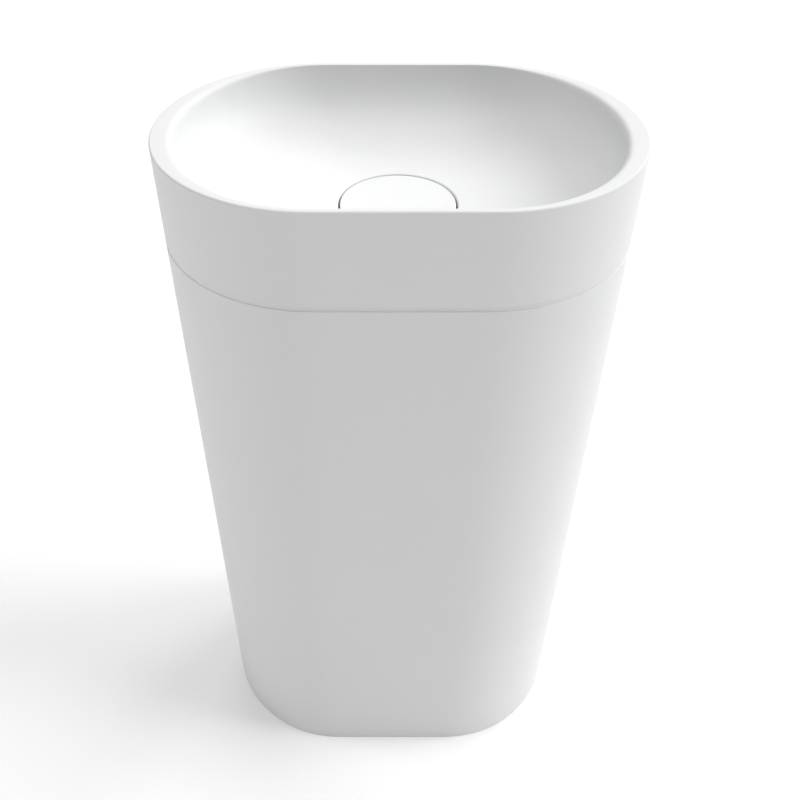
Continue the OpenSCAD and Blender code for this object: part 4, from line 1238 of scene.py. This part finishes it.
        add_piece("cover_bush", [ring_shell(rings)], "bare_brass", "cover", ["cover_insert"])

    def spring(self):
        """A round wire along a helix: its middle line is (r cos a, r sin a, low + rise * a / last a)."""
        turns, steps, sides = 6, 36, 12
        ends_low, ends_high = low("return_spring").z + WIRE_R, high("return_spring").z - WIRE_R
        a = np.linspace(0, TAU * turns, turns * steps + 1)[:, None]
        b = TAU * np.arange(sides) / sides
        r = SPRING_R + WIRE_R * np.cos(b)
        z = ends_low + (ends_high - ends_low) * a / (TAU * turns) + WIRE_R * np.sin(b)
        rings = np.stack([r * np.cos(a), r * np.sin(a), z], -1)
        add_piece("coil_spring", [capped_shell(rings)], "spring_steel", "fixture", ["return_spring"])


def slab_arm(x_low, x_high, width, z_low, z_high):
    """A bar along +X with softened long edges."""
    section = rounded_section([(-width / 2, z_low), (width / 2, z_low), (width / 2, z_high),
                               (-width / 2, z_high)], 0.5 * MM, 4)
    return capped_shell(np.stack([np.column_stack([np.full(len(section), x), section])
                                  for x in (x_low, x_high)]))


def union_nut(z_lip, z_far, lip_r, bore_r, outer_r, rib):
    """A hand nut from its lip to its far end: twelve ribs, a rounded lip and a chamfered mouth."""
    down = z_far < z_lip
    side = -1 if down else 1
    h = abs(z_far - z_lip)
    section = np.concatenate([
        arc((lip_r, 0), (lip_r, NUT_LIP), (outer_r, 0), 0.4 * MM),
        arc((outer_r, 0), (lip_r, 0), (outer_r, h), 1.4 * MM, 7),
        wall(outer_r, 2 * MM, h - 1.2 * MM, 1 * MM),
        arc((outer_r, h), (outer_r, 0), (bore_r, h), 0.8 * MM),
        arc((bore_r, h), (outer_r, h), (bore_r, NUT_LIP), 0.8 * MM),
        arc((bore_r, NUT_LIP), (bore_r, h), (lip_r, NUT_LIP), 0.3 * MM),
        arc((lip_r, NUT_LIP), (bore_r, NUT_LIP), (lip_r, 0), 0.3 * MM)])
    rings = ribbed(turn(section, 192), 12, rib, 1.6 * MM, h - 1.6 * MM, outer_r - FIT)
    return moved(ring_shell(rings), (0, 0, z_lip), flip=(1, 1, side))


class BASIN_OT_trap(bpy.types.Operator):
    """Builds the bottle trap, its nuts and washers, and the pipe down to the floor with its clips"""
    bl_idname = "basin.build_trap"
    bl_label = "Trap and pipe"

    def execute(self, context):
        self.nuts()
        self.washers()
        self.bottle()
        self.cup()
        self.pipes()
        self.clips()
        return {"FINISHED"}

    def nuts(self):
        rib = NUT_RIB
        outer = high("trap_inlet_nut").x - rib
        bore = TAIL_R + THREAD_GAP
        lip = PIPE_R + LIP_GAP
        inlet = union_nut(low("trap_inlet_nut").z, high("trap_inlet_nut").z, lip, bore, outer, rib)
        add_piece("inlet_nut", [inlet], "chromed_brass", "fixture", ["trap_inlet_nut"])
        top = union_nut(high("trap_top_nut").z, low("trap_top_nut").z, lip, bore, outer, rib)
        add_piece("bottle_nut", [top], "chromed_brass", "fixture", ["trap_top_nut"])
        side = union_nut(low("trap_outlet_nut").y, high("trap_outlet_nut").y, lip, bore, outer, rib)
        add_piece("outlet_nut", [moved(side, (0, 0, OUTLET_Z), (0, 2, 1))], "chromed_brass", "fixture",
                  ["trap_outlet_nut"])

    def washers(self):
        for name, node_name, lip in (("inlet_washer", "trap_inlet_washer", LIP_GAP),
                                     ("bottle_washer", "trap_top_washer", FIT)):
            top = high(node_name)
            ring = soft_ring(PIPE_R + lip, top.x, low(node_name).z, top.z, 0.5 * MM)
            add_piece(name, [ring_shell(ring)], "black_rubber", "fixture", [node_name])
        y_low, y_high = low("trap_outlet_washer").y, high("trap_outlet_washer").y
        ring = ring_shell(soft_ring(PIPE_R + FIT, high("trap_outlet_washer").x, y_low, y_high, 0.5 * MM))
        add_piece("outlet_washer", [moved(ring, (0, 0, OUTLET_Z), (0, 2, 1))], "black_rubber", "fixture",
                  ["trap_outlet_washer"])
        seal = soft_ring(CUP_IN, high("trap_cup_seal").x, low("trap_cup_seal").z, high("trap_cup_seal").z,
                         0.6 * MM, 128)
        add_piece("cup_washer", [ring_shell(seal)], "black_rubber", "cup_ring", ["trap_cup_seal"])

    def bottle(self):
        bottom, top = low("trap_body").z, high("trap_body").z
        shoulder = BOTTLE_TOP
        section = np.concatenate([
            arc((BOTTLE_R, bottom), (0, bottom), (BOTTLE_R, shoulder), 0.5 * MM),
            wall(BOTTLE_R, bottom + MM, bottom + BOTTLE_THREAD_L + 2 * MM, 0.5 * MM),
            arc((BOTTLE_R, shoulder), (BOTTLE_R, bottom), (TAIL_R, shoulder), 5 * MM, 9),
            arc((TAIL_R, shoulder), (BOTTLE_R, shoulder), (TAIL_R, top), 1.5 * MM),
            wall(TAIL_R, shoulder + 2 * MM, top - MM, 0.4 * MM),
            arc((TAIL_R, top), (TAIL_R, shoulder), (0, top), 0.6 * MM)])
        rings = threaded(turn(section, 128), bottom, bottom + BOTTLE_THREAD_L, *BOTTLE_THREAD)
        rings = threaded(rings, shoulder + 3 * MM, top + MM, *TAIL_THREAD)
        spigot_end = -low("trap_body").y
        rows = np.concatenate([
            [(TAIL_R, 2 * MM)], wall(TAIL_R, 26 * MM, spigot_end - MM, 0.4 * MM),
            arc((TAIL_R, spigot_end), (TAIL_R, 0), (0, spigot_end), 0.6 * MM)])
        spigot = threaded(turn(rows, 128), spigot_end - 14 * MM, spigot_end + MM, *TAIL_THREAD)
        spigot = at_outlet(capped_shell(spigot))
        t = np.linspace(0, math.pi / 2, 7)
        neck_in = np.stack([TAIL_R + BOSS_RISE * (1 - np.sin(t)), BOSS_END - 6 * MM * np.cos(t)], -1)
        rows = np.concatenate([[(TAIL_R + BOSS_RISE, 4 * MM)], neck_in])
        boss = at_outlet(capped_shell(turn(rows)))
        inner = BOTTLE_R - BOTTLE_WALL
        cavity = drill(inner, bottom - CUT, shoulder - 2 * BOTTLE_WALL, 96, mouth=bottom, flare=0.5 * MM)
        neck = drill(PIPE_R + FREE, shoulder - 3 * BOTTLE_WALL, top + CUT, 96, mouth=top, flare=0.6 * MM)
        bore = at_outlet(drill(PIPE_R + FREE, 0, spigot_end + CUT, 96, mouth=spigot_end, flare=0.6 * MM))
        body = carved(capped_shell(rings), adds=[boss, spigot], cuts=[cavity, neck, bore])
        add_piece("bottle_body", [body], "chromed_brass", "fixture", ["trap_body"])

    def cup(self):
        bottom, top = low("trap_cup").z, high("trap_cup").z
        outer = high("trap_cup").x - 2.5 * MM
        collar = low("trap_cup_seal").z - 3.8 * MM
        seal_z = low("trap_cup_seal").z
        thread_r = BOTTLE_R + FREE
        body_r = CUP_IN + 3 * MM
        section = np.concatenate([
            [(POLE, bottom)],
            arc((body_r, bottom), (0, bottom), (body_r, collar), 6 * MM, 9),
            arc((body_r, collar), (body_r, bottom), (outer, collar), 1.2 * MM),
            arc((outer, collar), (body_r, collar), (outer, top), 1.5 * MM),
            wall(outer, collar + 2 * MM, top - 2 * MM, 1 * MM),
            arc((outer, top), (outer, collar), (thread_r, top), 1.2 * MM),
            arc((thread_r, top), (outer, top), (thread_r, seal_z), 0.8 * MM),
            [(thread_r, seal_z)],
            arc((CUP_IN, seal_z), (thread_r, seal_z), (CUP_IN, bottom + CUP_FLOOR), 0.4 * MM),
            arc((CUP_IN, bottom + CUP_FLOOR), (CUP_IN, seal_z), (0, bottom + CUP_FLOOR), 4 * MM, 7),
            [(POLE, bottom + CUP_FLOOR)]])
        rings = ribbed(turn(section, 200), 10, 2.5 * MM, collar + 1.5 * MM, top - 1.5 * MM, outer - FIT,
                       3 * MM)
        add_piece("cleaning_cup", [capped_shell(rings)], "chromed_brass", "cup", ["trap_cup"])

    def pipes(self):
        end, top = low("dip_tube").z, high("dip_tube").z
        lip = high("dip_tube").x
        section = rounded_section(
            [(PIPE_IN, end), (PIPE_R, end), (PIPE_R, top - PIPE_FLANGE), (lip, top - PIPE_FLANGE),
             (lip, top), (PIPE_IN, top)], [0.3 * MM, 0.3 * MM, 0.8 * MM, 0.6 * MM, 0.6 * MM, 0.8 * MM])
        add_piece("inner_tube", [ring_shell(turn(section, 96))], "chromed_brass", "fixture", ["dip_tube"])
        points, ways, bead = pipe_path()
        skins = []
        for r, grow in ((PIPE_R, 1), (PIPE_IN, 0)):
            skin = tube_rings(points, ways, np.full(len(points), r) + grow * bead)
            skins.append(skin if grow else skin[::-1])
        rings = np.concatenate([skins[0], skins[1]])
        add_piece("drop_pipe", [ring_shell(rings)], "chromed_brass", "fixture", ["outlet_pipe"])

    def clips(self):
        grip = PIPE_R + CLIP_GAP
        outer = grip + CLIP_WALL
        mouth = math.asin(CLIP_OPEN / 2 / (grip + CLIP_WALL / 2))
        a = np.linspace(math.pi / 2 + mouth, 2.5 * math.pi - mouth, 49)
        inner_side = np.stack([grip * np.cos(a), grip * np.sin(a)], -1)
        outer_side = np.stack([outer * np.cos(a), outer * np.sin(a)], -1)[::-1]
        loop = np.concatenate([inner_side, tip_arc(inner_side[-1], outer_side[0]),
                               outer_side, tip_arc(outer_side[-1], inner_side[0])])
        shells = []
        back = COLUMN_IN - DROP_REACH
        half = CLIP_H / 2
        jaw = capped_shell(np.stack([flat_ring(loop, z) for z in (-half, half)]))
        face = -back + CLIP_BASE_T
        foot = moved(slab(CLIP_BASE_W, CLIP_BASE_H, 4 * MM, soft_levels(-back, face, 0.3 * MM, 1 * MM)))
        neck = box_shell((-6 * MM, face - 2 * MM, -half), (6 * MM, -grip - 1 * MM, half))
        hole = moved(drill(CLIP_SCREW_R + FREE, -back - CUT, face + CUT, 32, mouth=face),
                     (0, 0, CLIP_SCREW_DZ), (0, 2, 1))
        clip = carved(jaw, adds=[foot, neck], cuts=[hole])
        screw = screw_shell(CLIP_SCREW_R, CLIP_SCREW_L, 2 * CLIP_SCREW_R, CLIP_SCREW_R, 1.2 * MM, 0.5 * MM)
        screws = []
        for z in CLIP_SCREW_Z:
            shells.append(moved(clip, (0, -DROP_REACH, z - CLIP_SCREW_DZ)))
            screws.append(moved(screw, (0, -COLUMN_IN + CLIP_BASE_T, z), (0, 2, 1), (1, -1, 1)))
        add_piece("wall_clips", shells, "white_plastic", "fixture", ["pipe_clips"])
        add_piece("wall_clip_screws", screws, "stainless", "fixture", ["clip_screws"])


def at_outlet(shell):
    """A shell made along +Z, turned to lie along -Y from the trap's axis at the height of its outlet."""
    return moved(shell, (0, 0, OUTLET_Z), (0, 2, 1), (1, -1, 1))


def tip_arc(start, end, steps=7):
    """A half circle from one point to another, bulging to the right of the way between them."""
    middle, half = (start + end) / 2, (start - end) / 2
    t = np.linspace(0, math.pi, steps)[1:-1, None]
    across = np.array([-half[1], half[0]])
    return middle + half * np.cos(t) + across * np.sin(t)


def pipe_path():
    """The drop pipe's middle line: forwards out of the trap, round the bend and down to its open end.
    Gives its points, the way along it at each, and how far the bead stands out there."""
    bend_top = OUTLET_Z
    run = DROP_REACH - BEND_R
    start, end = -high("outlet_pipe").y, low("outlet_pipe").z
    flat = np.linspace(start, run, 4)[:-1]
    turn_angle = np.linspace(0, math.pi / 2, 25)
    bead_mid = end + 46.5 * MM
    bead_z = bead_mid + 2 * MM * np.cos(np.linspace(0, math.pi, 9))
    down = np.concatenate([np.linspace(bend_top - BEND_R, bead_z[0] + MM, 12)[1:], bead_z,
                           np.linspace(bead_z[-1] - MM, end, 5)])
    y = np.concatenate([-flat, -(run + BEND_R * np.sin(turn_angle)), np.full(len(down), -DROP_REACH)])
    z = np.concatenate([np.full(len(flat), bend_top), bend_top - BEND_R * (1 - np.cos(turn_angle)), down])
    ahead = np.concatenate([np.tile([-1.0, 0.0], (len(flat), 1)),
                            np.stack([-np.cos(turn_angle), -np.sin(turn_angle)], -1),
                            np.tile([0.0, -1.0], (len(down), 1))])
    bead = np.where(np.abs(z - bead_mid) < 2 * MM, 1.5 * MM * np.sin(
        np.clip((z - bead_mid + 2 * MM) / (4 * MM), 0, 1) * math.pi), 0) * (y <= -DROP_REACH + FIT)
    return np.stack([y, z], -1), ahead, bead


def tube_rings(points, ways, radii, around=64):
    """Rings round a line in the YZ plane: a circle in the plane that the way along the line stands on."""
    a = TAU * np.arange(around) / around
    side = np.stack([ways[:, 1], -ways[:, 0]], -1)
    r = radii[:, None]
    x = r * np.cos(a)
    y = points[:, :1] + r * np.sin(a) * side[:, :1]
    z = points[:, 1:] + r * np.sin(a) * side[:, 1:]
    return np.stack([x, y, z], -1)


class BASIN_OT_stage(bpy.types.Operator):
    """Sets the pale floor, the camera and the soft studio light"""
    bl_idname = "basin.build_stage"
    bl_label = "Stage"

    def execute(self, context):
        stage = context.scene.basin_stage
        finishes = context.scene.basin_finishes
        mesh = bpy.data.meshes.new("floor")
        half = 12.0
        mesh.from_pydata([(-half, -half, 0), (half, -half, 0), (half, half, 0), (-half, half, 0)], [],
                         [(0, 1, 2, 3)])
        mesh.materials.append(studio_floor("finish_floor", tuple(finishes.floor)))
        floor = bpy.data.objects.new("floor", mesh)
        context.scene.collection.objects.link(floor)

        camera = bpy.data.objects.new("camera", bpy.data.cameras.new("camera"))
        camera.data.lens = stage.lens
        camera.data.sensor_width = 36.0
        camera.data.shift_x = stage.shift_x
        camera.location = (stage.camera_x, stage.camera_y, stage.camera_z)
        camera.rotation_euler = (math.pi / 2 - stage.pitch, 0, 0)
        context.scene.collection.objects.link(camera)
        context.scene.camera = camera

        world = bpy.data.worlds.new("studio")
        world.use_nodes = True
        tree = world.node_tree
        rays = node(tree, "ShaderNodeLightPath").socket.node.outputs
        seen, mirrored = Value(tree, rays["Is Camera Ray"]), Value(tree, rays["Is Glossy Ray"])
        sky = tree.nodes["Background"]
        strength = seen * (1 - stage.sky) + mirrored * stage.mirrored + stage.sky
        tree.links.new(strength.socket, sky.inputs["Strength"])
        sky.inputs["Color"].default_value = (1.0, 1.0, 1.0, 1.0)
        context.scene.world = world
        context.scene.view_settings.view_transform = "Standard"
        for name, (azimuth, elevation, strength) in LIGHTS.items():
            soft_light(name, azimuth, elevation, strength * stage.lights)
        return {"FINISHED"}


def soft_light(name, azimuth, elevation, strength):
    """A wide far-off light that shines on the basin from one way."""
    data = bpy.data.lights.new(name, "SUN")
    data.angle = LIGHT_WIDTH
    data.energy = strength
    lamp = bpy.data.objects.new(name, data)
    bpy.context.scene.collection.objects.link(lamp)
    turned, raised = math.radians(azimuth), math.radians(elevation)
    along = math.cos(raised)
    way = Vector((along * math.cos(turned), along * math.sin(turned), math.sin(raised)))
    lamp.location = way
    lamp.rotation_euler = way.to_track_quat("Z", "Y").to_euler()


class BASIN_PT_panel(bpy.types.Panel):
    """Lists the sizes, the finishes and the steps"""
    bl_idname = "BASIN_PT_panel"
    bl_label = "Pedestal Basin"
    bl_space_type = "VIEW_3D"
    bl_region_type = "UI"
    bl_category = "Basin"

    def draw(self, context):
        for group in (context.scene.basin_sizes, context.scene.basin_finishes, context.scene.basin_stage):
            box = self.layout.box()
            for name in group.__annotations__:
                box.prop(group, name)
        for step in STEPS:
            self.layout.operator(step.bl_idname)


GROUPS = {"basin_sizes": BasinSizes, "basin_finishes": FinishColours, "basin_stage": StageSettings}
STEPS = [BASIN_OT_basin, BASIN_OT_column, BASIN_OT_panel, BASIN_OT_cover, BASIN_OT_fixings, BASIN_OT_waste,
         BASIN_OT_trap, BASIN_OT_stage]


def register():
    for item in (*GROUPS.values(), *STEPS, BASIN_PT_panel):
        bpy.utils.register_class(item)
    for name, group in GROUPS.items():
        setattr(bpy.types.Scene, name, PointerProperty(type=group))


def unregister():
    for name in GROUPS:
        delattr(bpy.types.Scene, name)
    for item in (BASIN_PT_panel, *reversed(STEPS), *reversed(list(GROUPS.values()))):
        bpy.utils.unregister_class(item)


def main():
    register()
    for step in STEPS:
        group, name = step.bl_idname.split(".")
        getattr(getattr(bpy.ops, group), name)()


if __name__ == "__main__":
    main()
